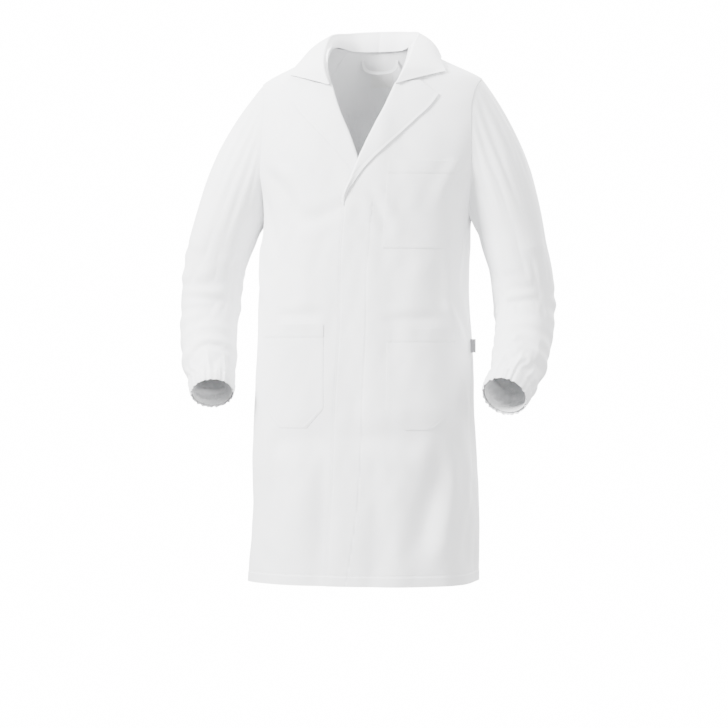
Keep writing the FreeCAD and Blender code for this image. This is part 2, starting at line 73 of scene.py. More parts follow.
LAPEL_X = [(716, -19.0), (728, -18.2), (738, -15.0), (757, -6.0), (785, 12.5), (813, 37.0), (846, 70.0), (880, 104.0),
           (901, 124.5), (915, 135.0), (927, 142.0)]
ARM_X = [(705, 201.5), (735, 203.0), (785, 205.0), (860, 203.0), (918, 203.0), (945, 208.0), (965, 215.0)]
FLY_X = [(0, -6.0), (122, 13.0), (215, 20.0), (328, 25.0), (487, 30.0), (609, 32.0), (740, 33.0)]


def _tab(t, z):
    n = len(t)
    if z <= t[0][0]:
        (z0, v0), (z1, v1) = t[0], t[1]
        return v0 + (v1 - v0) / (z1 - z0) * (z - z0)
    if z >= t[-1][0]:
        (z0, v0), (z1, v1) = t[-2], t[-1]
        return v1 + (v1 - v0) / (z1 - z0) * (z - z1)
    i = 0
    while z > t[i + 1][0]:
        i += 1
    x0, y0 = t[i]
    x1, y1 = t[i + 1]
    h = float(x1 - x0)

    def tan(k):
        if k <= 0:
            return (t[1][1] - t[0][1]) / float(t[1][0] - t[0][0])
        if k >= n - 1:
            return (t[-1][1] - t[-2][1]) / float(t[-1][0] - t[-2][0])
        ha, hb = float(t[k][0] - t[k - 1][0]), float(t[k + 1][0] - t[k][0])
        return ((t[k][1] - t[k - 1][1]) / ha * hb + (t[k + 1][1] - t[k][1]) / hb * ha) / (ha + hb)
    m0, m1 = tan(i), tan(i + 1)
    s = (z - x0) / h
    return ((2 * s**3 - 3 * s * s + 1) * y0 + (s**3 - 2 * s * s + s) * h * m0
            + (-2 * s**3 + 3 * s * s) * y1 + (s**3 - s * s) * h * m1)


_CACHE = {}


def tab(t, z):
    """smooth table, for arrays"""
    key = id(t)
    if key not in _CACHE:
        lo, hi = t[0][0] - 20.0, t[-1][0] + 20.0
        g = np.linspace(lo, hi, int((hi - lo) / (1.0 if hi - lo > 60 else 0.02)) + 1)
        _CACHE[key] = (g, np.array([_tab(t, q) for q in g]))
    g, v = _CACHE[key]
    return np.interp(np.asarray(z, float), g, v)


def sstep(t):
    t = np.clip(t, 0.0, 1.0)
    return t * t * (3 - 2 * t)


def lean(z):
    return 18.0 * sstep((np.asarray(z, float) - 560.0) / 320.0)


def raw(phi, z):
    a, n = tab(HALF_W, z), tab(EXPO, z)
    r = np.radians(phi)
    s, c = np.sin(r), np.cos(r)
    b = np.where(c >= 0, tab(DEPTH_F, z), tab(DEPTH_B, z))
    k = (np.abs(s / a) ** n + np.abs(c / b) ** n) ** (-1.0 / n)
    return np.stack([k * s + lean(z), -k * c, np.asarray(z, float) + 0 * k], -1)


# the drape of the cloth over the plain form, filled in below by fold_field() from the fold table and a patternless
# rumple:
# DRAPE[z index, phi index, 3] in millimetres
DRAPE = None
DZ, DP = 6.0, 2.0


def drape(phi, z):
    if DRAPE is None:
        return 0.0
    nz, npn = DRAPE.shape[0], DRAPE.shape[1]
    fi = np.clip(np.asarray(z, float) / DZ, 0, nz - 1.001)
    fj = (np.asarray(phi, float) % 360.0) / DP
    i0 = np.floor(fi).astype(int)
    j0 = np.floor(fj).astype(int)
    a, b = (fi - i0)[..., None], (fj - j0)[..., None]

    def w(t):
        # Catmull-Rom weights
        return (-0.5 * t + t * t - 0.5 * t**3, 1 - 2.5 * t * t + 1.5 * t**3,
                0.5 * t + 2 * t * t - 1.5 * t**3, -0.5 * t * t + 0.5 * t**3)
    wa, wb = w(a), w(b)
    out = 0.0
    for m in range(4):
        ii = np.clip(i0 + m - 1, 0, nz - 1)
        row = 0.0
        for q in range(4):
            row = row + wb[q] * DRAPE[ii, (j0 + q - 1) % npn]
        out = out + wa[m] * row
    return out



# soft folds of the hanging cloth: from (angle, height) to (angle, height), the
# half width, how far it stands out (or in) and how much the line bows, in mm
FOLDS = [
    (66.4, 233, 51.8, 40, 20, 4.6, 6), (57.2, 266, 45.5, 50, 18, -3.6, 5), (88.0, 214, 70.2, 20, 16, -3, 0),
    (37.5, 219, 31.8, -30, 22, 3.4, -5), (18.0, 230, 15.2, -30, 18, -2.6, 4), (-35.1, 255, -36.5, -30, 24, 3.4, 5),
    (-51.0, 273, -53.7, 0, 16, -2.8, -4), (-19.9, 218, -19.3, -20, 16, -2.4, 0), (-74, 300, -70, -30, 20, 3.2, 4),
    (67.0, 539, 82.8, 468, 10, -3.2, 3), (62.7, 533, 72.9, 460, 10, 2.4, 3),
    (12.9, 737, 27.7, 656, 11, -2.6, 3), (18.8, 741, 32.7, 666, 11, 1.8, 3),
    (-53.9, 268, -14.5, 278, 22, -2.6, 0), (-3.3, 280, 63.3, 276, 22, -2.6, 0),
    (-64.1, 786, -40.1, 681, 13, -2.6, 8), (-57.3, 798, -32.3, 705, 13, 2.0, 8), (-71.8, 744, -55.4, 626, 12, -2.4, 3),
    (68.3, 788, 65.8, 700, 12, -3.0, -5), (62.4, 802, 56.9, 727, 12, 2.2, -5), (85.3, 675, 76.6, 559, 11, -2.2, 3),
    (-8.5, 717, -41.7, 687, 13, -1.8, 4), (-3.4, 708, 27.9, 610, 13, -1.8, 5),
    (-50.4, 509, -21.5, 512, 10, -1.6, 0), (25.4, 499, 68.9, 503, 10, -1.4, 2),
    (-41.3, 634, -32.9, 520, 18, 2.2, 4), (47.5, 610, 42.8, 504, 20, 2.4, -4), (59.1, 623, 57.5, 501, 13, -1.8, 3),
    (-84, 655, -66, 560, 12, 2.2, 4), (-88, 600, -70, 520, 12, -2.2, 4),
    # the sides and the back
    (100, 420, 104, -40, 24, 4.2, 6), (118, 520, 121, -40, 22, -4.0, -5), (136, 560, 137, -40, 24, 5.0, 6),
    (155, 500, 153, -40, 20, -4.2, 4), (168, 420, 168, -40, 16, 3.0, 0), (-100, 440, -103, -40, 22, -3.8, -5),
    (-119, 560, -120, -40, 24, 5.0, 6), (-139, 520, -140, -40, 22, -4.2, -5), (-157, 540, -158, -40, 22, 4.4, 5),
    (-171, 380, -171, -40, 14, -2.6, 0),
    (112, 745, 124, 880, 15, 4.4, 8), (119, 730, 133, 860, 14, -3.6, 8), (-112, 745, -124, 880, 15, 4.4, -8),
    (-119, 730, -133, 860, 14, -3.6, -8), (104, 690, 140, 640, 14, -2.6, 6), (-104, 690, -142, 630, 14, -2.6, -6),
    (110, 660, 150, 600, 15, 2.2, 6), (-110, 655, -150, 590, 15, 2.2, -6), (150, 900, 140, 800, 20, 2.4, 6),
    (-150, 905, -141, 795, 20, 2.4, -6), (100, 620, 96, 500, 14, -2.4, 3), (-100, 620, -97, 500, 14, -2.4, 3),
    (176, 700, 158, 640, 14, -1.8, 4), (-175, 720, -156, 650, 14, -1.8, 4),
]


def fold_field():
    z = np.arange(0.0, 1041.0, DZ)
    ph = np.arange(0.0, 360.0, DP)
    PH, Z = np.meshgrid(ph, z)
    p = raw(PH, Z)
    n = np.cross(raw(PH + 0.5, Z) - raw(PH - 0.5, Z), raw(PH, Z + 2) - raw(PH, Z - 2))
    n /= np.linalg.norm(n, axis=-1, keepdims=True)
    H = 0.0 * Z
    for a0, z0, a1, z1, w, amp, bow in FOLDS:
        A, B = raw(a0, z0), raw(a1, z1)
        L = float(np.linalg.norm(B - A))
        e = (B - A) / L
        q = p - A
        t = q @ e / L
        d = q - (q @ e)[..., None] * e
        dn = (d * n).sum(-1)
        side = np.cross(n, e)
        tc = np.clip(t, -0.2, 1.2)
        ds = (d * side).sum(-1) - bow * 4.0 * tc * (1.0 - tc)
        env = sstep((t + 0.18) / 0.42) * sstep((1.18 - t) / 0.42) * (1.0 - sstep((np.abs(dn) - 50.0) / 40.0))
        w2 = w * (0.85 + 0.35 * tc)
        g = np.exp(-(ds / w2) ** 2) - 0.35 * np.exp(-((np.abs(ds) - 2.0 * w2) / w2) ** 2)
        H = H + amp * env * g
    # slack and rumple without a pattern, taller than wide
    rng = np.random.RandomState(11)
    r = np.radians(PH)
    for _ in range(46):
        k = rng.randint(3, 15)
        kz = rng.uniform(-1, 1) * 2 * math.pi / rng.uniform(150.0, 420.0)
        a = 1.0 / (1.0 + (k / 8.0) ** 2)
        H = H + 0.50 * a * np.sin(k * r + kz * Z + rng.uniform(0, 6.28)) * (0.55 + 0.9 * (1 - sstep(Z / 650.0)))
    for _ in range(60):
        k = rng.randint(8, 32)
        kz = rng.uniform(-1, 1) * 2 * math.pi / rng.uniform(45.0, 140.0)
        H = H + 0.05 * np.sin(k * r + kz * Z + rng.uniform(0, 6.28))
    H = H * (1.0 - sstep((Z - 860.0) / 60.0) * 0.92) * (1.0 - sstep((Z - 940.0) / 50.0))
    return H[..., None] * n


DRAPE = fold_field()


def form(phi, z):
    return raw(phi, z) + drape(phi, z)


def body(phi, z, off=0.0):
    """point on the coat's outer form, off mm out of it"""
    phi, z, off = np.broadcast_arrays(np.asarray(phi, float), np.asarray(z, float), np.asarray(off, float))
    p = form(phi, z)
    e, h = 0.7, 3.0
    u = form(phi + e, z) - form(phi - e, z)
    v = form(phi, z + h) - form(phi, z - h)
    n = np.cross(u, v)
    n /= np.linalg.norm(n, axis=-1, keepdims=True) + 1e-12
    return p + off[..., None] * n


def with_normals(f, PH, Z, sign):
    """surface points of f(angle, height) and its true normals, whatever the grid"""
    P = f(PH, Z)
    n = np.cross(f(PH + 0.2, Z) - f(PH - 0.2, Z), f(PH, Z + 0.7) - f(PH, Z - 0.7)) * sign
    n /= np.linalg.norm(n, axis=-1, keepdims=True) + 1e-12
    return P, n


def phi_at(x, z, front=True):
    a, n = tab(HALF_W, z), tab(EXPO, z)
    b = tab(DEPTH_F if front else DEPTH_B, z)
    t = np.clip(x / a, -1, 1)
    y = b * np.maximum(0.0, 1.0 - np.abs(t) ** n) ** (1.0 / n)
    ph = np.degrees(np.arctan2(t * a, y))
    return ph if front else np.where(ph >= 0, 180.0 - ph, -180.0 - ph)


def metres(p):
    q = np.array(p, float)
    q[..., 2] -= SEAT
    return q / 1000.0


# ------------------------------------------------------------------ materials
def principled(name, color, rough, sheen=0.0, metallic=0.0):
    m = bpy.data.materials.new(name)
    m.use_nodes = True
    nt = m.node_tree
    b = nt.nodes["Principled BSDF"]
    b.inputs["Base Color"].default_value = (*color, 1)
    b.inputs["Roughness"].default_value = rough
    b.inputs["Metallic"].default_value = metallic
    if sheen:
        b.inputs["Sheen Weight"].default_value = sheen
        b.inputs["Sheen Roughness"].default_value = 0.5
    return m, nt, b


def cloth_material(name, color, weave=1.0, tone=0.02, pitch=1700.0):
    """poly-cotton twill: fine diagonal ribs along the cloth's own UVs, a soft
    slub along the yarns and a faint unevenness of tone"""
    m, nt, b = principled(name, color, 0.86, 0.12)
    N, L = nt.nodes.new, nt.links.new
    uv = N("ShaderNodeUVMap")
    uv.uv_map = "cloth"
    rot = N("ShaderNodeMapping")
    rot.inputs["Rotation"].default_value = (0, 0, math.radians(45))
    L(uv.outputs["UV"], rot.inputs["Vector"])
    wave = N("ShaderNodeTexWave")
    wave.inputs["Scale"].default_value = pitch / 6.2832
    wave.inputs["Distortion"].default_value = 0.6
    wave.inputs["Detail"].default_value = 1.0
    L(rot.outputs["Vector"], wave.inputs["Vector"])
    slub = N("ShaderNodeTexNoise")
    st = N("ShaderNodeMapping")
    st.inputs["Scale"].default_value = (900, 60, 1)
    L(uv.outputs["UV"], st.inputs["Vector"])
    L(st.outputs["Vector"], slub.inputs["Vector"])
    slub.inputs["Scale"].default_value = 1.0
    slub.inputs["Detail"].default_value = 3.0
    mix = N("ShaderNodeMath")
    mix.operation = "MULTIPLY_ADD"
    L(slub.outputs["Fac"], mix.inputs[0])
    mix.inputs[1].default_value = 0.7
    L(wave.outputs["Fac"], mix.inputs[2])
    bump = N("ShaderNodeBump")
    bump.inputs["Strength"].default_value = 0.35 * weave
    bump.inputs["Distance"].default_value = 0.00018
    L(mix.outputs[0], bump.inputs["Height"])
    # soft rumple, a few centimetres across
    rum = N("ShaderNodeTexNoise")
    tc = N("ShaderNodeTexCoord")
    L(tc.outputs["Object"], rum.inputs["Vector"])
    rum.inputs["Scale"].default_value = 26.0
    rum.inputs["Detail"].default_value = 4.0
    rum.inputs["Roughness"].default_value = 0.45
    bump2 = N("ShaderNodeBump")
    bump2.inputs["Strength"].default_value = 0.30
    bump2.inputs["Distance"].default_value = 0.0018
    L(rum.outputs["Fac"], bump2.inputs["Height"])
    L(bump.outputs["Normal"], bump2.inputs["Normal"])
    L(bump2.outputs["Normal"], b.inputs["Normal"])
    cn = N("ShaderNodeTexNoise")
    cn.inputs["Scale"].default_value = 7.0
    cn.inputs["Detail"].default_value = 5.0
    L(tc.outputs["Object"], cn.inputs["Vector"])
    ramp = N("ShaderNodeValToRGB")
    lo = [c * (1 - tone * 2.2) for c in color]
    hi = [min(1, c * (1 + tone)) for c in color]
    ramp.color_ramp.elements[0].position = 0.3
    ramp.color_ramp.elements[0].color = (*lo, 1)
    ramp.color_ramp.elements[1].position = 0.7
    ramp.color_ramp.elements[1].color = (*hi, 1)
    L(cn.outputs["Fac"], ramp.inputs["Fac"])
    # twill shows faintly in the colour too
    cm = N("ShaderNodeMix")
    cm.data_type = "RGBA"
    cm.blend_type = "MULTIPLY"
    cm.inputs["Factor"].default_value = 0.10
    L(ramp.outputs["Color"], cm.inputs["A"])
    L(wave.outputs["Color"], cm.inputs["B"])
    L(cm.outputs["Result"], b.inputs["Base Color"])
    return m


WHITE = (0.855, 0.86, 0.87)
M_CLOTH = cloth_material("twill_white", WHITE)
M_FACING = cloth_material("twill_facing", (0.85, 0.855, 0.865), tone=0.02)
M_LABEL = cloth_material("label_satin", (0.83, 0.83, 0.82), weave=0.5, pitch=5200.0)
M_FLAG = cloth_material("flag_tape", (0.26, 0.26, 0.27), weave=0.5, pitch=5200.0)
M_TAPE = cloth_material("tape_weave", (0.78, 0.785, 0.79), weave=1.6, pitch=2600.0)
M_THREAD, _nt, _b = principled("thread", (0.84, 0.845, 0.85), 0.6, 0.2)
_n = _nt.nodes.new("ShaderNodeTexWave")
_n.inputs["Scale"].default_value = 900.0
_t = _nt.nodes.new("ShaderNodeTexCoord")
_nt.links.new(_t.outputs["Object"], _n.inputs["Vector"])
_k = _nt.nodes.new("ShaderNodeBump")
_k.inputs["Strength"].default_value = 0.5
_k.inputs["Distance"].default_value = 0.0001
_nt.links.new(_n.outputs["Fac"], _k.inputs["Height"])
_nt.links.new(_k.outputs["Normal"], _b.inputs["Normal"])
M_STEEL, _nt, _b = principled("snap_metal", (0.62, 0.62, 0.61), 0.28, metallic=1.0)
_n = _nt.nodes.new("ShaderNodeTexNoise")
_n.inputs["Scale"].default_value = 1800.0
_t = _nt.nodes.new("ShaderNodeTexCoord")
_nt.links.new(_t.outputs["Object"], _n.inputs["Vector"])
_r = _nt.nodes.new("ShaderNodeMapRange")
_r.inputs["To Min"].default_value = 0.2
_r.inputs["To Max"].default_value = 0.42
_nt.links.new(_n.outputs["Fac"], _r.inputs["Value"])
_nt.links.new(_r.outputs["Result"], _b.inputs["Roughness"])


# --------------------------------------------------------------------- meshes
def new_object(name, verts, faces, mat, uvs=None, smooth=True):
    me = bpy.data.meshes.new(name)
    me.from_pydata([tuple(v) for v in verts], [], [tuple(f) for f in faces])
    me.update()
    if smooth:
        me.polygons.foreach_set("use_smooth", [True] * len(me.polygons))
    if uvs is not None:
        layer = me.uv_layers.new(name="cloth")
        li = np.zeros(len(me.loops), dtype=np.int32)
        me.loops.foreach_get("vertex_index", li)
        layer.data.foreach_set("uv", np.asarray(uvs, np.float32)[li].ravel())
    me.materials.append(mat)
    ob = bpy.data.objects.new(name, me)
    bpy.context.scene.collection.objects.link(ob)
    return ob


def grid_normals(P, closed=False):
    du = np.empty_like(P)
    if closed:
        du = np.roll(P, -1, 1) - np.roll(P, 1, 1)
    else:
        du[:, 1:-1] = P[:, 2:] - P[:, :-2]
        du[:, 0] = P[:, 1] - P[:, 0]
        du[:, -1] = P[:, -1] - P[:, -2]
    dv = np.empty_like(P)
    dv[1:-1] = P[2:] - P[:-2]
    dv[0] = P[1] - P[0]
    dv[-1] = P[-1] - P[-2]
    n = np.cross(du, dv)
    l = np.linalg.norm(n, axis=-1, keepdims=True)
    bad = l[..., 0] < 1e-9
    n = n / np.maximum(l, 1e-12)
    if bad.any():
        # borrow from the row below
        for j in range(1, P.shape[0]):
            n[j][bad[j]] = n[j - 1][bad[j]]
    return n


def cloth_piece(name, P, mat, thick=1.2, closed=False, flip=False, uv=None, shade=None):
    """P[row, col, 3] in mm: the outer face of a cloth layer; the inner face and
    a rounded edge are added.  closed joins the last column to the first."""
    P = np.asarray(P, float)
    nv, nu = P.shape[:2]
    n = grid_normals(P, closed)
    if flip:
        n = -n
    Q = P - n * thick
    mid = P - n * thick * 0.5
    if uv is None:
        # lengths along the cloth, in metres
        seg = np.linalg.norm(np.diff(P, axis=1), axis=2)
        U = np.concatenate([np.zeros((nv, 1)), np.cumsum(seg, 1)], 1)
        U -= U[:, nu // 2][:, None]
        segv = np.linalg.norm(np.diff(P, axis=0), axis=2).mean(1)
        V = np.concatenate([[0], np.cumsum(segv)])[:, None] + 0 * U
        uv = np.stack([U, V], -1) / 1000.0
    shade = n if shade is None else shade
    norms = [shade.reshape(-1, 3), -shade.reshape(-1, 3)]
    verts = [P.reshape(-1, 3), Q.reshape(-1, 3)]
    uvs = [uv.reshape(-1, 2), uv.reshape(-1, 2)]
    NV = nv * nu
    ncol = nu if closed else nu - 1
    faces = []
    I = np.arange(NV).reshape(nv, nu)
    a = I[:-1, :ncol]
    b = np.roll(I, -1, 1)[:-1, :ncol]
    c = np.roll(I, -1, 1)[1:, :ncol]
    d = I[1:, :ncol]
    F = np.stack([a, b, c, d], -1).reshape(-1, 4)
    # the outward side of du x dv is (a, b, c, d)
    if flip:
        F = F[:, ::-1]
    faces.append(F)
    faces.append(F[:, ::-1] + NV)
    # rim
    loops = []
    if closed:
        loops.append((I[0], True, not flip))
        loops.append((I[-1][::-1], True, not flip))
    else:
        ring = np.concatenate([I[0, :-1], I[:-1, -1], I[-1, ::-1][:-1], I[::-1, 0][:-1]])
        loops.append((ring, True, not flip))
    base = 2 * NV
    for ring, cyc, fwd in loops:
        m = len(ring)
        Pr = P.reshape(-1, 3)[ring]
        Mr = mid.reshape(-1, 3)[ring]
        # outward direction at the edge: away from the neighbours inside
        t = np.roll(Pr, -1, 0) - np.roll(Pr, 1, 0)
        nn = n.reshape(-1, 3)[ring]
        o = np.cross(t, nn)
        o /= np.linalg.norm(o, axis=1, keepdims=True) + 1e-9
        o = o if fwd else -o
        verts.append(Mr + o * thick * 0.35)
        norms.append(o)
        uvs.append(uv.reshape(-1, 2)[ring])
        k = np.arange(m)
        k1 = (k + 1) % m
        top = np.stack([ring[k1], ring[k], base + k, base + k1], -1)
        bot = np.stack([base + k1, base + k, ring[k] + NV, ring[k1] + NV], -1)
        if not fwd:
            top, bot = top[:, ::-1], bot[:, ::-1]
        faces += [top, bot]
        base += m
    V = metres(np.concatenate(verts))
    F = np.concatenate(faces)
    ob = new_object(name, V, F, mat, np.concatenate(uvs))
    ob.data.normals_split_custom_set_from_vertices(np.concatenate(norms).tolist())
    return ob


def resample(line, step):
    line = np.asarray(line, float)
    d = np.concatenate([[0], np.cumsum(np.linalg.norm(np.diff(line, axis=0), axis=1))])
    n = max(2, int(round(d[-1] / step)) + 1)
    s = np.linspace(0, d[-1], n)
    return np.stack([np.interp(s, d, line[:, k]) for k in range(3)], -1)


class Stitches:
    """lines of lockstitch: short thread capsules lying on the cloth"""

    def __init__(self, name):
        self.name, self.v, self.f, self.n = name, [], [], 0

    def add(self, line, normal, pitch=3.2, gap=0.8, r=0.28, sink=0.10):
        line = np.asarray(line, float)
        normal = np.asarray(normal, float)
        d = np.concatenate([[0], np.cumsum(np.linalg.norm(np.diff(line, axis=0), axis=1))])
        count = int(d[-1] / pitch)
        if count < 1:
            return
        at = lambda s, A: np.stack([np.interp(s, d, A[:, k]) for k in range(3)], -1)
        s0 = np.arange(count) * pitch + 0.5 * gap
        s1 = s0 + pitch - gap
        rings = []
        prof = [(0.0, 0.25, -0.5), (0.18, 0.85, -0.1), (0.5, 1.0, 0.12), (0.82, 0.85, -0.1), (1.0, 0.25, -0.5)]
        for f, rr, lift in prof:
            s = s0 + (s1 - s0) * f
            c = at(s, line)
            n = at(s, normal)
            n /= np.linalg.norm(n, axis=1, keepdims=True) + 1e-9
            t = at(np.minimum(s + 0.5, d[-1]), line) - at(np.maximum(s - 0.5, 0), line)
            t /= np.linalg.norm(t, axis=1, keepdims=True) + 1e-9
            b = np.cross(t, n)
            c = c + n * (r * (lift + 0.5) - sink)[..., None] if np.ndim(r * (lift + 0.5) - sink) else c + n * (r * (lift + 0.5) - sink)
            ring = []
            for k in range(6):
                a = 2 * math.pi * k / 6
                ring.append(c + b * (r * rr * math.cos(a)) + n * (r * rr * 0.8 * math.sin(a)))
            rings.append(np.stack(ring, 1))
        R = np.stack(rings, 1)          # count, 5, 6, 3
        self.v.append(R.reshape(-1, 3))
        base = self.n + np.arange(count)[:, None] * 30
        F = []
        for i in range(4):
            for k in range(6):
                k1 = (k + 1) % 6
                F.append([i * 6 + k, i * 6 + k1, (i + 1) * 6 + k1, (i + 1) * 6 + k])
        F = np.array(F)
        Q = (base[:, :, None] + F[None]).reshape(-1, 4)
        self.f += [tuple(q) for q in Q]
        for q in base[:, 0]:
            self.f.append(tuple(int(q) + k for k in range(5, -1, -1)))
            self.f.append(tuple(int(q) + 24 + k for k in range(6)))
        self.n += count * 30

    def make(self):
        if not self.v:
            return None
        V = metres(np.concatenate(self.v))
        return new_object(self.name, V, self.f, M_THREAD)


def body_line(x, z, off, front=True, phi=None):
    """a line on the torso and its normals, from x (from the middle) and z"""
    x, z = np.asarray(x, float), np.asarray(z, float)
    ph = phi_at(x, z, front) if phi is None else np.asarray(phi, float)
    p = body(ph, z, off)
    q = body(ph, z, np.asarray(off) + 1.0)
    return p, q - p


def stitch_body(S, x, z, off, front=True, phi=None, **kw):
    p, n = body_line(x, z, off, front, phi)
    S.add(p, n, **kw)

# ---------------------------------------------------------------- torso cloth
T = 1.1          # thickness of one layer


def smooth_x(x, a, b):
    return 1.0 - sstep((x - a) / (b - a))


def off_left(x, z):
    """the upper front lies over the placket, the studs and the lower front"""
    return 4.6 * smooth_x(x, 34.0, 84.0)


def hem_band(z):
    """the turned-up hem is a little thicker, with a dent at its stitching"""
    return 0.7 * (1 - sstep((z - 17.5) / 3.0)) - 0.35 * np.exp(-((z - 20.0) / 1.8) ** 2)


def pucker(s, z, amp, period=11.0, seed=0.0):
    """tiny ripples that a seam pulls into the cloth"""
    return amp * (np.sin(2 * math.pi * s / period + seed) * 0.6
                  + np.sin(2 * math.pi * s / (period * 1.73) + 1.3 + seed) * 0.4)


def z_rows(top, fine_top=True):
    z = [0.0, 1.5, 4.0, 8.0, 12.0, 16.0, 18.5, 20.0, 21.5, 24.0, 28.0]
    z += list(np.arange(34.0, top, 6.0))
    return np.array(z + [top])


def cols(n, lo=0.0, hi=1.0, dense=None):
    return np.linspace(lo, hi, n)


def front(sign):
    """one whole front, hem to shoulder seam; the upper one is the wearer's left"""
    z = np.concatenate([z_rows(700.0), np.arange(705.0, 962.0, 5.0), np.arange(963.0, 1034.0, 3.0), [1033.5]])
    inner = np.where(z < BREAK, tab(EDGE_X, z), tab(ROLL_X, z))
    a = tab(HALF_W, z)
    arm = tab(ARM_X, np.clip(z, UNDERARM, SHOULDER))
    ph0 = phi_at(inner, z)
    ph1 = np.where(z <= UNDERARM, 90.6, np.where(z < SHOULDER, phi_at(arm, z), 90.0))
    # columns: fine near the edge and the placket stitching
    u = np.concatenate([[0, 0.006, 0.014, 0.024], np.linspace(0.036, 0.30, 24), np.linspace(0.31, 0.985, 46), [0.993, 1.0]])
    PH = ph0[:, None] + (ph1 - ph0)[:, None] * u[None]
    Z = z[:, None] + 0 * u[None]

    def surf(PH, Z):
        X = raw(PH, Z)[..., 0] - lean(Z)
        off = hem_band(Z)
        if sign > 0:
            off = off + off_left(X, Z)
            # placket stitching: a dent along the line and a fine step
            d = X - tab(FLY_X, Z)
            on = 1.0 - sstep((Z - 716.0) / 16.0)
            off = off + on * (-0.45 * np.exp(-(d / 1.6) ** 2) + 0.35 * (1 - sstep((d + 1) / 2.0)))
            off = off + on * pucker(Z, X, 0.18, 13.0) * np.exp(-(d / 7.0) ** 2)
            e = X - tab(EDGE_X, Z)
            off = off + np.where(Z < BREAK, -0.3 * np.exp(-((e - 2.5) / 1.2) ** 2), 0.0)
        off = off + pucker(PH * 2.5, Z, 0.22, 14.0, 0.5) * np.exp(-((Z - 20.0) / 7.0) ** 2)
        # underarm and side seams pull a few small puckers
        off = off + pucker(Z, PH, 0.25, 15.0, 1.1) * np.exp(-((PH - 90.0) * 2.6 / 8.0) ** 2) * (1 - sstep((Z - 690.0) / 10.0))
        return body(sign * PH, Z, off)
    P, N = with_normals(surf, PH, Z, sign)
    return P, N


def back(sign):
    z = np.concatenate([z_rows(700.0), np.arange(705.0, 962.0, 5.0), np.arange(963.0, 1034.0, 3.0), [1034.0]])
    arm = tab(ARM_X, np.clip(z, UNDERARM, SHOULDER))
    ph0 = np.where(z <= UNDERARM, 88.6, np.where(z < SHOULDER, phi_at(arm, z, False), 89.0))
    vent = 1.0 - sstep((z - 330.0) / 14.0)
    # the centre-back seam: the left side laps over the right at the vent
    ph1 = 180.0 + (0.25 if sign > 0 else 0.25) + vent * (9.0 if sign < 0 else 1.0)
    u = np.concatenate([[0, 0.006, 0.02], np.linspace(0.035, 0.94, 60), np.linspace(0.95, 0.99, 5), [0.996, 1.0]])
    PH = ph0[:, None] + (ph1 - ph0)[:, None] * u[None]
    Z = z[:, None] + 0 * u[None]

    def surf(PH, Z):
        off = hem_band(Z) + pucker(PH * 2.5, Z, 0.22, 14.0, 2.0) * np.exp(-((Z - 20.0) / 7.0) ** 2)
        # under the front along the side and shoulder seams
        off = off - 1.25 * (1 - sstep((PH - 90.6) / 1.4)) * (1 - sstep((Z - UNDERARM - 2) / 4.0))
        off = off - 1.25 * (1 - sstep((PH - 91.0) / 2.5)) * sstep((Z - SHOULDER + 8) / 6.0)
        # centre-back seam: a narrow dent with the allowance pressed to one side
        vent = 1.0 - sstep((Z - 330.0) / 14.0)
        d = (180.0 - PH) * 2.3
        if sign > 0:
            off = off + (0.9 * (1 - sstep((d - 10.0) / 2.0)) - 0.5 * np.exp(-((d - 10.0) / 1.3) ** 2))
            off = off + vent * 0.6 * (1 - sstep((d - 20.0) / 4.0))
            off = off + pucker(Z, d, 0.2, 12.0, 0.9) * np.exp(-((d - 8.0) / 7.0) ** 2)
        else:
            off = off - 0.35 - vent * 1.2 * (1 - sstep((d - 16.0) / 16.0))
        return body(sign * PH, Z, off)
    return with_normals(surf, PH, Z, sign)


def uv_body(P):
    return None


pieces = {}
for key, name, (P, N), flip in (("front_left", "front_left", front(1), False), ("front_right", "front_right", front(-1), True),
                                ("back_left", "back_panel_left", back(1), False), ("back_right", "back_panel_right", back(-1), True)):
    pieces[key] = cloth_piece(name, P, M_CLOTH, T, flip=flip, shade=N)

for side, key, bodyname in ((1, "front_left", "left_front"), (-1, "front_right", "right_front")):
    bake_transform(pieces[key])
    nm = "left" if side > 0 else "right"
    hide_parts("front_%s_upper" % nm, "front_%s_lower" % nm)
    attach(pieces["back_" + nm], "torso")
    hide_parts("back_" + nm)


def door_blend(ob, side):
    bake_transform(ob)


# ------------------------------------------------------------- front facings
def facing_strip(sign, x_in, x_out, z0, z1, off, name):
    z = np.concatenate([np.arange(z0, z1, 8.0), [z1]])
    u = np.linspace(0, 1, 14)
    xa = tab(EDGE_X, z) + x_in
    xb = tab(EDGE_X, z) + x_out
    X = xa[:, None] + (xb - xa)[:, None] * u[None]
    Z = z[:, None] + 0 * X
    o = off(X, Z) if callable(off) else off
    P = body(sign * phi_at(X, Z), Z, o)
    return cloth_piece(name, P, M_FACING, 0.9, flip=sign < 0)


plk = facing_strip(1, 3.0, 51.0, 6.0, 742.0, lambda x, z: 2.9, "placket_strip")
door_blend(plk, 1)
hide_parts("placket_upper", "placket_lower")


# ---------------------------------------------------------------------- studs
def lathe(name, prof, n=28):
    """profile (r, h) in mm turned round the local h axis; returns verts, faces"""
    V, F = [], []
    for r, h in prof:
        for k in range(n):
            a = 2 * math.pi * k / n
            V.append((r * math.cos(a), r * math.sin(a), h))
    for i in range(len(prof) - 1):
        for k in range(n):
            k1 = (k + 1) % n
            F.append((i * n + k, i * n + k1, (i + 1) * n + k1, (i + 1) * n + k))
    return np.array(V), F


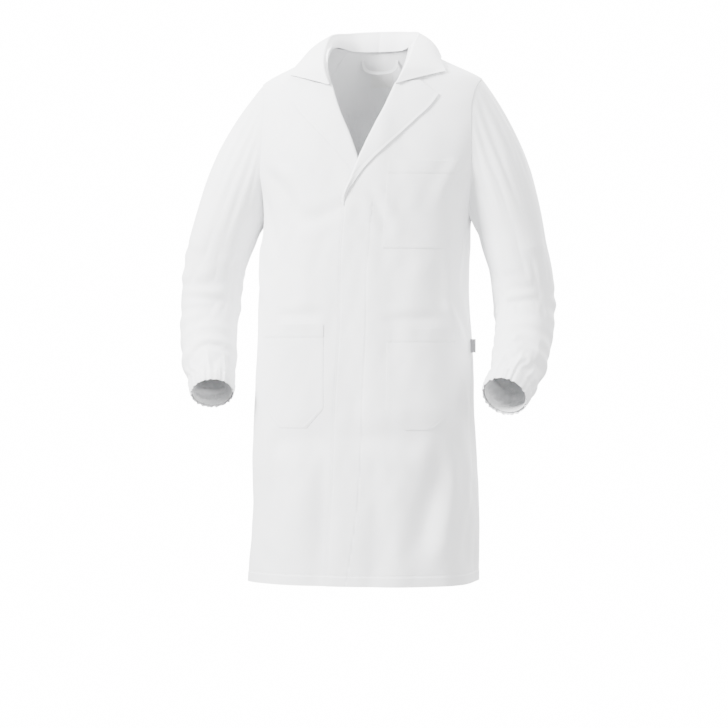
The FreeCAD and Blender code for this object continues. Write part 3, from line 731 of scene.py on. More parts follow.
STUD_H = (727.0, 535.0, 353.0, 178.0)
SOCKET = [(0.0, 2.05), (2.3, 2.05), (2.5, 1.95), (2.5, 1.30), (2.9, 0.95), (3.6, 0.9), (4.6, 1.0), (5.4, 1.25), (5.8, 1.6),
          (5.8, 1.9), (5.5, 2.05), (2.0, 2.05), (2.0, 3.0), (5.2, 3.0), (5.4, 3.15), (5.2, 3.4), (3.0, 3.55), (0.0, 3.6)]
BALL = [(0.0, -1.95), (5.2, -1.9), (5.4, -1.7), (5.2, -1.35), (1.8, -1.3), (1.8, 0.05), (5.6, 0.05), (5.8, 0.25), (5.4, 0.5), (3.2, 0.62),
        (1.7, 0.7), (1.5, 0.95), (1.75, 1.25), (1.6, 1.6), (1.0, 1.8), (0.0, 1.85)]


def studs(name, hs, prof, base):
    V, F, n0 = [], [], 0
    for z in hs:
        x = float(_tab(EDGE_X, z)) + 24.0
        ph = phi_at(x, z)
        c = body(ph, z, base)
        n = body(ph, z, base + 1.0) - c
        t = np.cross(n, [0, 0, 1.0])
        t /= np.linalg.norm(t)
        b = np.cross(n, t)
        v, f = lathe(name, prof)
        V.append(c + v[:, :1] * t + v[:, 1:2] * b + v[:, 2:3] * n)
        F += [tuple(n0 + k for k in q) for q in f]
        n0 += len(v)
    ob = new_object(name, metres(np.concatenate(V)), F, M_STEEL)
    return ob


for nm, hs, prof, base, side, bod in (("socket_top", STUD_H[:1], SOCKET, 0.3, 1, "torso"), ("socket_row", STUD_H[1:], SOCKET, 0.3, 1, "left_front"),
                                      ("ball_top", STUD_H[:1], BALL, 0.0, -1, "torso"), ("ball_row", STUD_H[1:], BALL, 0.0, -1, "right_front")):
    ob = studs("stud_" + nm, hs, prof, base)
    door_blend(ob, side)
    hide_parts({"socket_top": "stud_socket_top", "socket_row": "stud_sockets", "ball_top": "stud_ball_top", "ball_row": "stud_balls"}[nm])


# -------------------------------------------------------------------- pockets
TP = 0.75


def pocket(sign, xa, xb, z0, z1, chamfer, base, band, name, puff):
    zs = np.concatenate([[z0, z0 + 0.8, z0 + 2.0, z0 + 4.0], np.arange(z0 + 8.0, z1 - band - 3.0, 5.0),
                         [z1 - band - 1.5, z1 - band, z1 - band + 1.5], np.arange(z1 - band + 5.0, z1 - 3.0, 5.0), [z1 - 1.5, z1]])
    cw, ch = chamfer
    k = np.clip(1.0 - (zs - z0) / max(ch, 1e-6), 0.0, 1.0) if ch else 0.0 * zs
    A = xa(zs) + cw * k
    B = xb(zs) - cw * k
    u = np.concatenate([[0, 0.008, 0.02, 0.035, 0.055], np.linspace(0.08, 0.92, 30), [0.945, 0.965, 0.98, 0.992, 1.0]])
    X = A[:, None] + (B - A)[:, None] * u[None]
    Z = zs[:, None] + 0 * X
    du = np.minimum(u, 1 - u)[None] * (B - A)[:, None]
    v = (zs - z0) / (z1 - z0)
    dz = (zs - z0)[:, None] + 0 * X
    edge = np.minimum(du, dz)
    # sewn down at the edge, free in the middle; the mouth stands off most
    o = TP + 0.1 + 0.5 * sstep(edge / 2.2) + puff * sstep((edge - 6.0) / 42.0) * (0.35 + 0.65 * v[:, None] ** 2)
    o = o - 0.4 * np.exp(-((edge - 2.0) / 0.9) ** 2) - 0.4 * np.exp(-((edge - 8.0) / 1.0) ** 2)
    o = o + 0.5 * sstep((Z - (z1 - band)) / 1.5) - 0.45 * np.exp(-((Z - (z1 - band)) / 1.2) ** 2)
    o = o + pucker(Z + X, X, 0.16, 9.0, 0.4) * np.exp(-((edge - 8.0) / 6.0) ** 2)
    o = o + base(X, Z)
    P = body(sign * phi_at(X, Z), Z, o)
    ob = cloth_piece(name, P, M_CLOTH, TP, flip=sign < 0)
    # stitch lines: two rows down the sides and along the bottom, one under the band
    S = Stitches(name + "_stitches")
    for inset in (2.0, 8.0):
        zz = np.concatenate([np.arange(z1 - 1.0, z0 + ch, -6.0), [z0 + ch + 0.1]])
        xl = xa(zz) + inset
        path_x = list(xl)
        path_z = list(zz)
        bx0, bx1 = xa(np.array([z0]))[0] + cw, xb(np.array([z0]))[0] - cw
        nb = 12
        if ch:
            for q in np.linspace(0.1, 1, 7):
                path_x.append(xa(np.array([z0 + ch]))[0] + inset + q * (bx0 + inset * 0.45 - xa(np.array([z0 + ch]))[0] - inset))
                path_z.append(z0 + ch + (inset - ch) * q)
        else:
            path_z[-1] = z0 + inset
        for q in np.linspace(0, 1, nb)[1:]:
            lo = bx0 + inset * (0.45 if ch else 1.0)
            hi = bx1 - inset * (0.45 if ch else 1.0)
            path_x.append(lo + q * (hi - lo))
            path_z.append(z0 + inset)
        if ch:
            for q in np.linspace(0, 1, 7)[1:]:
                path_x.append(bx1 - inset * 0.45 + q * (xb(np.array([z0 + ch]))[0] - inset - bx1 + inset * 0.45))
                path_z.append(z0 + inset + (ch - inset) * q)
        zz2 = np.arange(path_z[-1] + 4.0, z1, 6.0)
        path_x += list(xb(zz2) - inset)
        path_z += list(zz2)
        px, pz = np.array(path_x), np.array(path_z)
        oo = TP + 0.1 + 0.5 * sstep(inset / 2.2) - 0.38 + base(px, pz) + np.where(pz > z1 - band, 0.5, 0.0) + puff * sstep((inset - 6.0) / 42.0) * 0.5
        stitch_body(S, sign * px if sign < 0 else px, pz, oo, phi=sign * phi_at(px, pz))
    xx = np.linspace(xa(np.array([z1 - band]))[0] + 1.0, xb(np.array([z1 - band]))[0] - 1.0, 30)
    zz = 0 * xx + z1 - band
    ed = np.minimum(xx - xx[0] + 1, xx[-1] + 1 - xx)
    oo = TP + 0.1 + 0.5 * sstep(ed / 2.2) + puff * sstep((ed - 6.0) / 42.0) * (0.35 + 0.65 * (1 - band / (z1 - z0)) ** 2) - 0.2 + base(xx, zz)
    stitch_body(S, xx, zz, oo, phi=sign * phi_at(xx, zz))
    st = S.make()
    return ob, st


zero = lambda x, z: 0.0 * x
hipL = pocket(1, lambda z: 70.0 + 0 * z, lambda z: 190.0 + 0 * z, 294.0, 484.0, (34.0, 36.0), off_left, 25.0, "hip_pocket_L", 4.0)
hipR = pocket(-1, lambda z: 51.0 + 0 * z, lambda z: 174.0 + 0 * z, 297.0, 493.0, (34.0, 36.0), zero, 25.0, "hip_pocket_R", 4.0)
brst = pocket(1, lambda z: 57.0 + 0.012 * (800 - z), lambda z: 183.0 + 0 * z, 636.0, 800.0, (0.0, 0.0), off_left, 24.0, "chest_pocket", 2.6)
for (ob, st), nodes, side in ((hipL, ["hip_pocket_left"], 1), (hipR, ["hip_pocket_right"], -1), (brst, ["breast_pocket"], 1)):
    for o in (ob, st):
        door_blend(o, side)
    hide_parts(*nodes)


# --------------------------------------------------------------------- lapels
GORGE_IN = (62.0, 948.0)
NOTCH = (106.0, 953.5)
TIP = (142.0, 927.0)


def lapel(sign):
    """the turned-back upper front: rolls out of the front edge at the break
    and folds over along the roll line"""
    base = off_left if sign > 0 else zero
    nv = 64
    s = np.linspace(0, 1, nv)
    zr = 722.0 + (GORGE_IN[1] - 722.0) * s            # on the roll line
    ze = 716.0 + (TIP[1] - 716.0) * s                 # on the outer edge
    xr = tab(ROLL_X, zr)
    xe = tab(LAPEL_X, ze)
    # the roll: soft and open at the break, pressed flat higher up
    r = (1.9 + 1.5 * np.exp(-(s / 0.16))) * (0.35 + 0.65 * sstep(s / 0.07))
    # the right lapel goes under the left front below the crossing
    c = 1.0 if sign > 0 else sstep((zr - 785.0) / 40.0)
    r = r * c + 0.55 * (1.0 - c)
    al = np.linspace(0.15, 1.0, 9) * math.pi
    uo = np.concatenate([np.linspace(0.0, 0.94, 28)[1:], [0.96, 0.975, 0.988, 1.0]])
    cols_x, cols_z, cols_o = [], [], []
    for a in al:
        cols_x.append(xr - r * math.sin(a) + 1.0)
        cols_z.append(zr)
        cols_o.append(r * (1 - math.cos(a)) * (0.30 + 0.70 * sstep(s / 0.13)) + base(xr, zr) - 0.2)
    for u in uo:
        x = xr + 1.0 + (xe - xr - 1.0) * u
        z = zr + (ze - zr) * u
        # gorge side: the top edge runs in a slight hollow from neck to tip
        cols_x.append(x)
        cols_z.append(z)
        width = np.abs(xe - xr)
        h = 2 * r * (1 - sstep(u * 1.05)) + 1.9 * sstep(u * 1.05) + T * 0.5
        h = h + 1.3 * np.sin(math.pi * np.minimum(u * 1.1, 1.0)) * sstep((width - 14.0) / 60.0) * c
        h = h * c + np.minimum(h, 1.7) * (1.0 - c)
        h = h * (0.30 + 0.70 * sstep(s / 0.13))
        h = h - 0.3 * np.exp(-(((1 - u) * width - 5.0) / 1.3) ** 2)
        cols_o.append(h + base(x, z) + 0 * z)
    X, Z, O = np.stack(cols_x, 1), np.stack(cols_z, 1), np.stack(cols_o, 1)
    # the top edge runs from the gorge up to the notch and down to the tip
    U = np.concatenate([0 * al, uo])[None]
    un = 0.56
    lift = np.minimum(U / un, (1.0 - U) / (1.0 - un)) * np.clip((s - 0.74) / 0.26, 0, 1)[:, None] ** 1.3
    dx = NOTCH[0] - (GORGE_IN[0] + (TIP[0] - GORGE_IN[0]) * un)
    dz = NOTCH[1] - (GORGE_IN[1] + (TIP[1] - GORGE_IN[1]) * un)
    X = X + dx * lift
    Z = Z + dz * lift
    P = body(sign * phi_at(X, Z), Z, O)
    ob = cloth_piece("lapel_fold_%s" % ("left" if sign > 0 else "right"), P, M_CLOTH, T, flip=sign > 0)
    S = Stitches("lapel_%s_stitches" % ("left" if sign > 0 else "right"))
    xe2, ze2 = xe[3:-2] - 4.6, ze[3:-2] + 1.2
    o = 1.9 + T * 0.5 + base(xe2, ze2) - 0.1
    p, n = body_line(sign * xe2, ze2, o, phi=sign * phi_at(xe2, ze2))
    S.add(p, n)
    return ob, S.make()


def lapel_grid_fix(X, Z, s, u):
    return X, Z


# --------------------------------------------------------------------- collar
K_T = [0.0, 0.3, 0.55, 0.65, 0.75, 0.87, 1.0]
C_FX = list(zip(K_T, [0.0, 55.0, 85.0, 84.5, 83.0, 77.0, 64.0]))
C_FY = list(zip(K_T, [76.0, 60.0, 8.0, -24.0, -57.0, -86.0, -104.0]))
C_FZ = list(zip(K_T, [1072.0, 1068.0, 1055.0, 1038.0, 1012.0, 982.0, 949.5]))
C_BX = list(zip(K_T, [0.0, 48.0, 77.0, 79.0, 79.0, 74.5, 66.0]))
C_BY = list(zip(K_T, [65.0, 50.0, 3.0, -28.0, -55.0, -80.0, -100.0]))
C_BZ = list(zip(K_T, [1031.0, 1031.0, 1033.0, 1022.0, 1000.0, 975.0, 951.0]))
C_EX = list(zip(K_T, [0.0, 86.0, 131.0, 137.0, 141.0, 147.0, 151.0]))
C_EZ = list(zip(K_T, [1017.0, 1009.0, 1004.0, 997.0, 989.0, 980.0, 972.0]))


def collar():
    k = np.linspace(-1, 1, 181)
    t = np.abs(k)
    sg = np.where(k >= 0, 1.0, -1.0)
    F = np.stack([sg * tab(C_FX, t) + 18.0, tab(C_FY, t), tab(C_FZ, t)], -1)
    B = np.stack([sg * tab(C_BX, t) + 18.0, tab(C_BY, t), tab(C_BZ, t)], -1)
    xe, ze = tab(C_EX, t), tab(C_EZ, t)
    # where the edge sits on the body: the back, the crest or the chest
    crest = 1034.0 - (np.maximum(xe, 78.0) - 78.0) / 137.0 * 69.0
    ze = np.minimum(ze, crest - 0.8)
    bk = t < 0.52
    ph = np.where(bk, phi_at(xe, ze, False), phi_at(xe, ze, True))
    # pass smoothly over the crest
    w = sstep((t - 0.44) / 0.16)
    ph = (180.0 - (180.0 - phi_at(xe, ze, False)) * 1.0) * (1 - w) + phi_at(xe, ze, True) * w
    E = body(sg * ph, ze, 3.4)
    # an even sweep over the crest of the shoulder
    wS = (sstep((t - 0.26) / 0.1) * (1 - sstep((t - 0.74) / 0.1)))[:, None]
    for _ in range(40):
        q = E.copy()
        q[1:-1] = 0.5 * E[1:-1] + 0.25 * (E[2:] + E[:-2])
        E = E + (q - E) * wS
    E[:, 2] += 1.2 * wS[:, 0]
    rows = []
    up = np.array([0, 0, 1.0])
    out = np.stack([F[:, 0] - 18.0, F[:, 1], 0 * t], -1)
    out /= np.linalg.norm(out, axis=1, keepdims=True)
    # stand, from the neck seam up to the fold
    r = 3.0 - 0.8 * sstep((t - 0.6) / 0.4)
    for f in np.linspace(0, 1, 9)[:-1]:
        p = B + (F - B) * f
        p = p - out * (2.4 * math.sin(math.pi * f) * (1 - sstep((t - 0.7) / 0.3)))[:, None]
        p[:, 2] -= r * f
        rows.append(p)
    stand_rows = len(rows)
    # fold
    for a in np.linspace(0.0, math.pi * 0.80, 9):
        p = F + out * (r * (1 - math.cos(a)))[:, None] + up * (r * (math.sin(a) - 1.0))[:, None]
        rows.append(p)
    S0 = rows[-1]
    # fall: lies over shoulders and chest
    lift = 0.0
    for f in list(np.linspace(0, 1, 22)[1:-1]) + [0.975, 0.99, 1.0]:
        p = S0 + (E - S0) * f
        h = (7.5 * (1 - sstep((t - 0.35) / 0.5)) + 2.2) * math.sin(math.pi * min(1.0, f)) ** 0.9
        nrm = out * 0.75 + up * 0.45
        nrm /= np.linalg.norm(nrm, axis=1, keepdims=True)
        p = p + nrm * h[:, None]
        rows.append(p)
    P = np.stack(rows, 0)
    # keep clear of the body: measure the gap along z for the fall's points
    nf = P.shape[0] - stand_rows
    for it in range(3):
        Q = P[stand_rows + 4:]
        x = Q[..., 0] - 18.0
        z = Q[..., 2]
        y = Q[..., 1]
        zz = np.clip(z, 900.0, 1033.0)
        a, n = tab(HALF_W, zz), tab(EXPO, zz)
        b = np.where(y <= 0, tab(DEPTH_F, zz), tab(DEPTH_B, zz))
        rho = (np.abs(x / a) ** n + np.abs(y / b) ** n) ** (1.0 / n)
        need = 1.0 + 3.4 / np.minimum(a, b)
        sc = np.where((rho < need) & (z < 1033.0), need / np.maximum(rho, 1e-6), 1.0)
        # push out and up together, as on a sloping shoulder
        push = (sc - 1.0)
        Q[..., 0] += x * push * 0.5
        Q[..., 1] += y * push * 0.5
        Q[..., 2] += np.clip(push * 40.0, 0, 6.0)
        P[stand_rows + 4:] = Q
    return P, stand_rows


colP, stand_rows = collar()
col = cloth_piece("collar", colP, M_CLOTH, T, flip=True)
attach(col, "torso")
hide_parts("collar_fall", "collar_stand")
S = Stitches("collar_stitches")
rr = -6
nC = grid_normals(colP)
S.add(colP[rr][3:-3] - nC[rr][3:-3] * 0.05, -nC[rr][3:-3])
cs = S.make()
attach(cs, "torso")

for sign in (1, -1):
    ob, st = lapel(sign)
    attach(ob, "torso")
    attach(st, "torso")
    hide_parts("lapel_left" if sign > 0 else "lapel_right")

# --------------------------------------------- inside the neck: facing, label
zf = np.linspace(905.0, 1031.0, 30)
uf = np.linspace(0, 1, 60)
ph_f = 128.0 + 104.0 * uf
Zf = zf[:, None] - (26.0 * (np.abs(ph_f - 180.0) / 52.0) ** 2 * -1.0)[None] * (1 - (zf[:, None] - 905.0) / 126.0)
Pf = body(ph_f[None] + 0 * Zf, Zf, -T - 0.25)
ob = cloth_piece("neck_facing_cloth", Pf, M_FACING, 0.8, flip=False)
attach(ob, "torso")
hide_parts("neck_facing")

zl = np.linspace(966.0, 1000.0, 12)
ul = np.linspace(167.0, 193.0, 20)
Pl = body(ul[None] + 0 * zl[:, None], zl[:, None] + 0 * ul[None], -T - 0.25 - 0.8 - 0.35)
ob = cloth_piece("neck_label_blank", Pl, M_LABEL, 0.45, flip=False)
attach(ob, "torso")
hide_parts("neck_label")

# hanger loop: a flat tape, sewn at both ends
pts = np.array([(-34.0, 0.0), (-33.0, -9.0), (-29.0, -17.0), (-20.0, -22.5), (0.0, -25.0), (20.0, -22.5), (29.0, -17.0), (33.0, -9.0), (34.0, 0.0)])
tt = np.linspace(0, len(pts) - 1, 70)
cx = np.array([_tab([(float(i), p[0]) for i, p in enumerate(pts)], q) for q in tt])
cz = np.array([_tab([(float(i), p[1]) for i, p in enumerate(pts)], q) for q in tt])
tg = np.stack([np.gradient(cx), np.gradient(cz)], 1)
tg /= np.linalg.norm(tg, axis=1, keepdims=True)
rows = []
for w in np.linspace(-2.6, 2.6, 9):
    rows.append(np.stack([18.0 + cx - tg[:, 1] * w, 70.4 - 3.0 * (1 - np.abs(cx) / 34.0) + 0.15 * np.cos(w), 1015.0 + cz + tg[:, 0] * w], -1))
ob = cloth_piece("hanger_tape", np.stack(rows, 0), M_TAPE, 0.9, flip=False)
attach(ob, "loop")
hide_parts("hanger_loop")

# side label: a small folded flag of grey tape, blank
zs = np.linspace(440.0, 466.0, 12)
us = np.linspace(0, 1, 14)
x0 = raw(90.0, 453.0)[0] + 0.6
loopx = np.concatenate([x0 + 11.0 * us, x0 + 11.0 * us[::-1][1:]])
loopy = np.concatenate([-0.25 - 0.35 * np.sin(us * 2.5), (0.35 + 0.35 * np.sin(us * 2.5))[::-1][1:]]) + 0.5
Ps = np.stack([loopx[None] + 0 * zs[:, None], loopy[None] + 0 * zs[:, None], zs[:, None] + 0 * loopx[None]], -1)
ob = cloth_piece("side_flag", Ps, M_FLAG, 0.25, flip=True)
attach(ob, "flag")
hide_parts("side_label")

# -------------------------------------------------------------------- sleeves
ARM_L = [(296.0, 4.0, 640.0, 60.0, 64.0), (306.0, 8.0, 595.0, 60.0, 62.0), (310.0, 8.0, 550.0, 60.0, 60.0),
         (314.0, 0.0, 510.0, 58.0, 58.0), (314.0, -22.0, 468.0, 55.0, 56.0), (311.0, -52.0, 430.0, 53.0, 54.0),
         (305.0, -88.0, 396.0, 50.0, 50.0), (298.0, -118.0, 374.0, 46.0, 46.0), (293.0, -140.0, 358.0, 43.0, 43.0)]
ARM_R = [(-288.0, 4.0, 650.0, 62.0, 64.0), (-301.0, 8.0, 606.0, 61.0, 62.0), (-306.0, 8.0, 560.0, 60.0, 60.0),
         (-308.0, 0.0, 516.0, 58.0, 58.0), (-305.0, -20.0, 472.0, 56.0, 56.0), (-297.0, -46.0, 432.0, 53.0, 54.0),
         (-287.0, -74.0, 398.0, 48.0, 48.0), (-280.0, -92.0, 378.0, 44.0, 44.0), (-276.0, -106.0, 362.0, 41.0, 41.0)]


def arm_pt(side, t, s, off=0.0, drop=0.0):
    """point on a sleeve: t degrees round it (0 outer, 90 front, 180 inner),
    s along it (-1 armhole, 0 end of the sleeve head, 8 cuff edge)"""
    st = np.array(ARM_L if side > 0 else ARM_R)
    t, s, off = np.broadcast_arrays(np.asarray(t, float), np.asarray(s, float), np.asarray(off, float))
    ct, sn = np.cos(np.radians(t)), np.sin(np.radians(t))
    key = ("arm", side)
    if key not in _CACHE:
        g = np.linspace(0, 8, 401)
        _CACHE[key] = (g, np.array([[_tab([(float(i), st[i, k]) for i in range(9)], q) for q in g] for k in range(5)]))
    g, tb = _CACHE[key]

    def ring(q):
        c = np.stack([np.interp(q, g, tb[k]) for k in range(3)], -1)
        d = np.stack([np.interp(np.minimum(8, q + 0.05), g, tb[k]) - np.interp(np.maximum(0, q - 0.05), g, tb[k]) for k in range(3)], -1)
        d = d / np.linalg.norm(d, axis=-1, keepdims=True)
        w = -d[..., :1] * d * side
        w = w + np.array([side, 0, 0])
        w = w / np.linalg.norm(w, axis=-1, keepdims=True)
        f = np.cross(d, w)
        f = np.where(f[..., 1:2] > 0, -f, f)
        return c, w, f, np.interp(q, g, tb[3]), np.interp(q, g, tb[4])
    c, w, f, hw, hd = ring(np.maximum(s, 0.0))
    tube = c + w * ((hw + off) * ct)[..., None] + f * ((hd + off) * sn)[..., None]
    k = np.clip(1.0 + s, 0.0, 1.0)[..., None]
    zc, hz = 0.5 * (SHOULDER + UNDERARM), 0.5 * (SHOULDER - UNDERARM)
    z = zc + hz * ct
    x = tab(ARM_X, z)
    ph = np.where(sn >= 0, phi_at(x, z), phi_at(x, z, False))
    A = body(side * ph, z, off - drop)
    bow = (np.sin(np.pi * k[..., 0]) * (0.5 + 0.5 * ct))[..., None]
    head = A + (tube - A) * k + bow * np.array([side * 20.0, 0, 16.0])
    return np.where((s >= 0)[..., None], tube, head)


def upsample(P, closed, fu=2, fv=2):
    """Catmull-Rom refinement of a grid"""
    def line(A, f, cyc):
        n = A.shape[0]
        m = n * f if cyc else (n - 1) * f + 1
        q = np.arange(m) / f
        i = np.floor(q).astype(int)
        t = (q - i).reshape(-1, *([1] * (A.ndim - 1)))
        if cyc:
            idx = [(i + k) % n for k in (-1, 0, 1, 2)]
            a, b, c, d = [A[j] for j in idx]
        else:
            E = np.concatenate([2 * A[:1] - A[1:2], A, 2 * A[-1:] - A[-2:-1], 3 * A[-1:] - 2 * A[-2:-1]])
            a, b, c, d = E[i], E[i + 1], E[i + 2], E[i + 3]
        return 0.5 * ((2 * b) + (c - a) * t + (2 * a - 5 * b + 4 * c - d) * t**2 + (3 * b - a - 3 * c + d) * t**3)
    P = line(P, fv, False)
    return line(P.transpose(1, 0, 2), fu, closed).transpose(1, 0, 2)


SLEEVE_SPLIT = 1.25
NT = 80
S_ROWS = np.concatenate([np.linspace(-1.0, 0.0, 44)[:-1], np.linspace(0.0, 8.0, 62)])


def gather(side, t, s):
    """cloth gathered by the cuff elastic: small pleats that die out up the arm"""
    rng = np.random.RandomState(7 if side > 0 else 8)
    out = 0.0
    for N, amp in ((19, 0.9), (27, 0.8), (34, 0.5)):
        ph = rng.uniform(0, 360)
        wob = 6.0 * np.sin(np.radians(t * rng.randint(2, 5) + rng.uniform(0, 360))) + 2.0 * np.sin(s * 2.1 + rng.uniform(0, 6))
        out = out + amp * np.cos(np.radians(N * t + ph + wob * 3.0))
    env = sstep((s - 5.4) / 1.6) * (1 - 0.45 * sstep((s - 7.15) / 0.2)) * (1 + 0.5 * sstep((s - 7.8) / 0.2))
    dent = -1.6 * np.exp(-((s - 7.12) / 0.055) ** 2)
    return out * 1.25 * env + dent + 1.0 * sstep((s - 7.15) / 0.15) * (1 - sstep((s - 7.75) / 0.25))


def sleeve_base(side):
    t = np.arange(NT) * 360.0 / NT
    Tt, Ss = np.meshgrid(t, S_ROWS)
    P = arm_pt(side, Tt, Ss, 0.0, drop=1.3)
    return P, Tt, Ss


# ------------------------------------------------------- sleeves, simulated
def upper_arm_tables(side):
    st = np.array(ARM_L if side > 0 else ARM_R)
    g = np.linspace(0, 8, 401)
    return g, np.array([[_tab([(float(i), st[i, k]) for i in range(9)], q) for q in g] for k in range(5)])


def simulate(P, rest, pin, solid, frames):
    """let a tube of twill settle over a solid form.  P and rest are grids in
    mm (rest is the flat-cut size of the cloth), pin the hold of each point"""
    sc = bpy.context.scene
    nv, nu = P.shape[:2]

    def tube_mesh(G, name, ends=False):
        a = np.arange(G.shape[0] * G.shape[1]).reshape(G.shape[:2])
        b = np.roll(a, -1, 1)
        F = np.stack([a[:-1], b[:-1], b[1:], a[1:]], -1).reshape(-1, 4).tolist()
        if ends:
            F += [a[0][::-1].tolist(), a[-1].tolist()]
        me = bpy.data.meshes.new(name)
        me.from_pydata(metres(G).reshape(-1, 3).tolist(), [], F)
        me.update()
        o = bpy.data.objects.new(name, me)
        sc.collection.objects.link(o)
        return o
    form_ob = tube_mesh(solid, "sim_form", True)
    cm = form_ob.modifiers.new("Collision", "COLLISION")
    form_ob.collision.thickness_outer = 0.003
    form_ob.collision.cloth_friction = 8.0
    ob = tube_mesh(P, "sim_cloth")
    vg = ob.vertex_groups.new(name="pin")
    w = np.round(pin.ravel(), 2)
    for val in np.unique(w):
        if val > 0:
            vg.add(np.nonzero(w == val)[0].tolist(), float(val), "REPLACE")
    ob.shape_key_add(name="Basis")
    key = ob.shape_key_add(name="cut")
    key.data.foreach_set("co", metres(rest).ravel())
    key.value = 0.0
    m = ob.modifiers.new("Cloth", "CLOTH")
    s = m.settings
    s.quality = 7
    s.mass = 0.12
    s.air_damping = 2.0
    s.tension_stiffness = 14.0
    s.compression_stiffness = 14.0
    s.shear_stiffness = 6.0
    s.bending_stiffness = 0.35
    s.tension_damping = 12.0
    s.compression_damping = 12.0
    s.shear_damping = 12.0
    s.bending_damping = 1.0
    s.vertex_group_mass = "pin"
    s.pin_stiffness = 1.0
    s.rest_shape_key = key
    m.collision_settings.collision_quality = 3
    m.collision_settings.distance_min = 0.002
    m.collision_settings.use_self_collision = False
    m.point_cache.frame_start = 1
    m.point_cache.frame_end = frames
    for f in range(1, frames + 1):
        sc.frame_set(f)
    dg = bpy.context.evaluated_depsgraph_get()
    ev = ob.evaluated_get(dg)
    me = ev.to_mesh()
    out = np.empty(nv * nu * 3)
    me.vertices.foreach_get("co", out)
    ev.to_mesh_clear()
    out = out.reshape(nv, nu, 3) * 1000.0
    out[..., 2] += SEAT
    for o in (ob, form_ob):
        d = o.data
        bpy.data.objects.remove(o)
        bpy.data.meshes.remove(d)
    sc.frame_set(1)
    return out


def sleeve_cut(side, P, T0, S0):
    """the sleeve as cut: less bent than the arm, a little longer and wider"""
    g, tb = upper_arm_tables(side)
    C = tb[:3].T
    D = np.gradient(C, axis=0)
    D /= np.linalg.norm(D, axis=1, keepdims=True)
    ds = np.concatenate([[0], np.linalg.norm(np.diff(C, axis=0), axis=1)])
    E = D[:1] + (D - D[:1]) * 0.45
    E /= np.linalg.norm(E, axis=1, keepdims=True)
    c2 = C[0] + np.cumsum(E * ds[:, None] * 1.07, 0)
    s = np.clip(S0[:, 0], 0.0, 8.0)
    at = lambda A: np.stack([np.interp(s, g, A[:, k]) for k in range(A.shape[1])], -1)
    c, d = at(c2), at(E)
    w = np.array([side, 0, 0]) - d[:, :1] * side * d
    w /= np.linalg.norm(w, axis=1, keepdims=True)
    f = np.cross(d, w)
    f = np.where(f[:, 1:2] > 0, -f, f)
    wide = 1.0 + 0.32 * sstep((s - 5.0) / 1.6)
    hw, hd = np.interp(s, g, tb[3]) * wide, np.interp(s, g, tb[4]) * wide
    ct, sn = np.cos(np.radians(T0)), np.sin(np.radians(T0))
    R = c[:, None] + w[:, None] * (hw[:, None] * ct)[..., None] + f[:, None] * (hd[:, None] * sn)[..., None]
    head = S0[:, 0] < 0
    k = np.clip(1.0 + S0, 0, 1)
    i0 = int(np.argmin(np.abs(S0[:, 0])))
    col = np.linalg.norm(P[i0] - P[0], axis=-1)
    slack = 0.06 * col[None] * k + 8.0 * k
    Rh = P.copy()
    mid = P.mean(1, keepdims=True)
    Rh = P + (P - mid) * 0.03
    R[head] = Rh[head]
    return R + E[0] * slack[..., None]


def simulate_sleeve(side):
    P, T0, S0 = sleeve_base(side)
    rest = sleeve_cut(side, P, T0, S0)
    mid = P.mean(1, keepdims=True)
    rng = np.random.RandomState(3 + side)
    rip = 0.0
    for N, K in ((1, 6.5), (1, 8.5), (2, 5.0), (2, -7.0), (3, 4.0), (1, -9.5)):
        rip = rip + np.cos(np.radians(N * T0 + rng.uniform(0, 360)) + S0 * K + rng.uniform(0, 6))
    pin = 0.16 + 0.0 * S0
    pin = np.maximum(pin, 1.0 - sstep((S0 + 1.0) / 0.10))
    pin = np.maximum(pin, 0.25 * np.clip(np.cos(np.radians(T0)), 0, 1) * (1 - sstep((S0 + 0.9) / 0.5)))
    pin = np.where(S0 > 7.12, 1.0, pin)
    n = grid_normals(P, True)
    if ((P - mid) * n).sum(-1).mean() < 0:
        n = -n
    start = P + n * (0.7 * rip * (1 - sstep((S0 - 5.0) / 1.0)) * sstep((S0 + 0.8) / 0.4) + gather(side, T0, S0) * (S0 <= 7.12))[..., None]
    start = start + n * (gather(side, T0, S0) * (S0 > 7.12))[..., None]
    ts = np.arange(48) * 7.5
    ss = np.linspace(-0.55, 8.0, 60)
    TT, SS = np.meshgrid(ts, ss)
    inner = 13.0 - 5.0 * sstep((SS - 6.0) / 1.2)
    form_grid = arm_pt(side, TT, SS, -inner, drop=13.0)
    cen = form_grid.mean(1, keepdims=True)
    form_grid = np.where((SS < 0)[..., None], cen + (form_grid - cen) * (0.80 + 0.20 * sstep((SS + 0.55) / 0.55))[..., None], form_grid)
    if side > 0:
        out = simulate(start, rest, pin, form_grid, 34)
    else:
        # the grid runs the other way round here, so turn it to face outwards
        out = simulate(start[:, ::-1], rest[:, ::-1], pin[:, ::-1], form_grid[:, ::-1], 34)[:, ::-1]
    move = out - start
    dist = np.linalg.norm(move, axis=-1, keepdims=True)
    move = move * np.minimum(1.0, 24.0 / np.maximum(dist, 1e-6))
    # keep the wrinkles, and only part of the slow sag, so that the sleeve
    # keeps its width
    low = move.copy()
    for _ in range(90):
        q = 0.5 * low + 0.25 * (np.roll(low, 1, 1) + np.roll(low, -1, 1))
        q[1:-1] = 0.5 * q[1:-1] + 0.25 * (q[2:] + q[:-2])
        low = q
    out = start + (move - low) * 1.15 + low * 0.08
    # take the finest ripple off, leaving the held ends alone
    for _ in range(2):
        sm = out.copy()
        sm[1:-1] = 0.5 * out[1:-1] + 0.125 * (out[2:] + out[:-2] + np.roll(out, 1, 1)[1:-1] + np.roll(out, -1, 1)[1:-1])
        out = out + (sm - out) * (pin < 0.9)[..., None]
    print("sleeve", side, "moved mean %.1f max %.1f mm" % (dist.mean(), dist.max()))
    return out


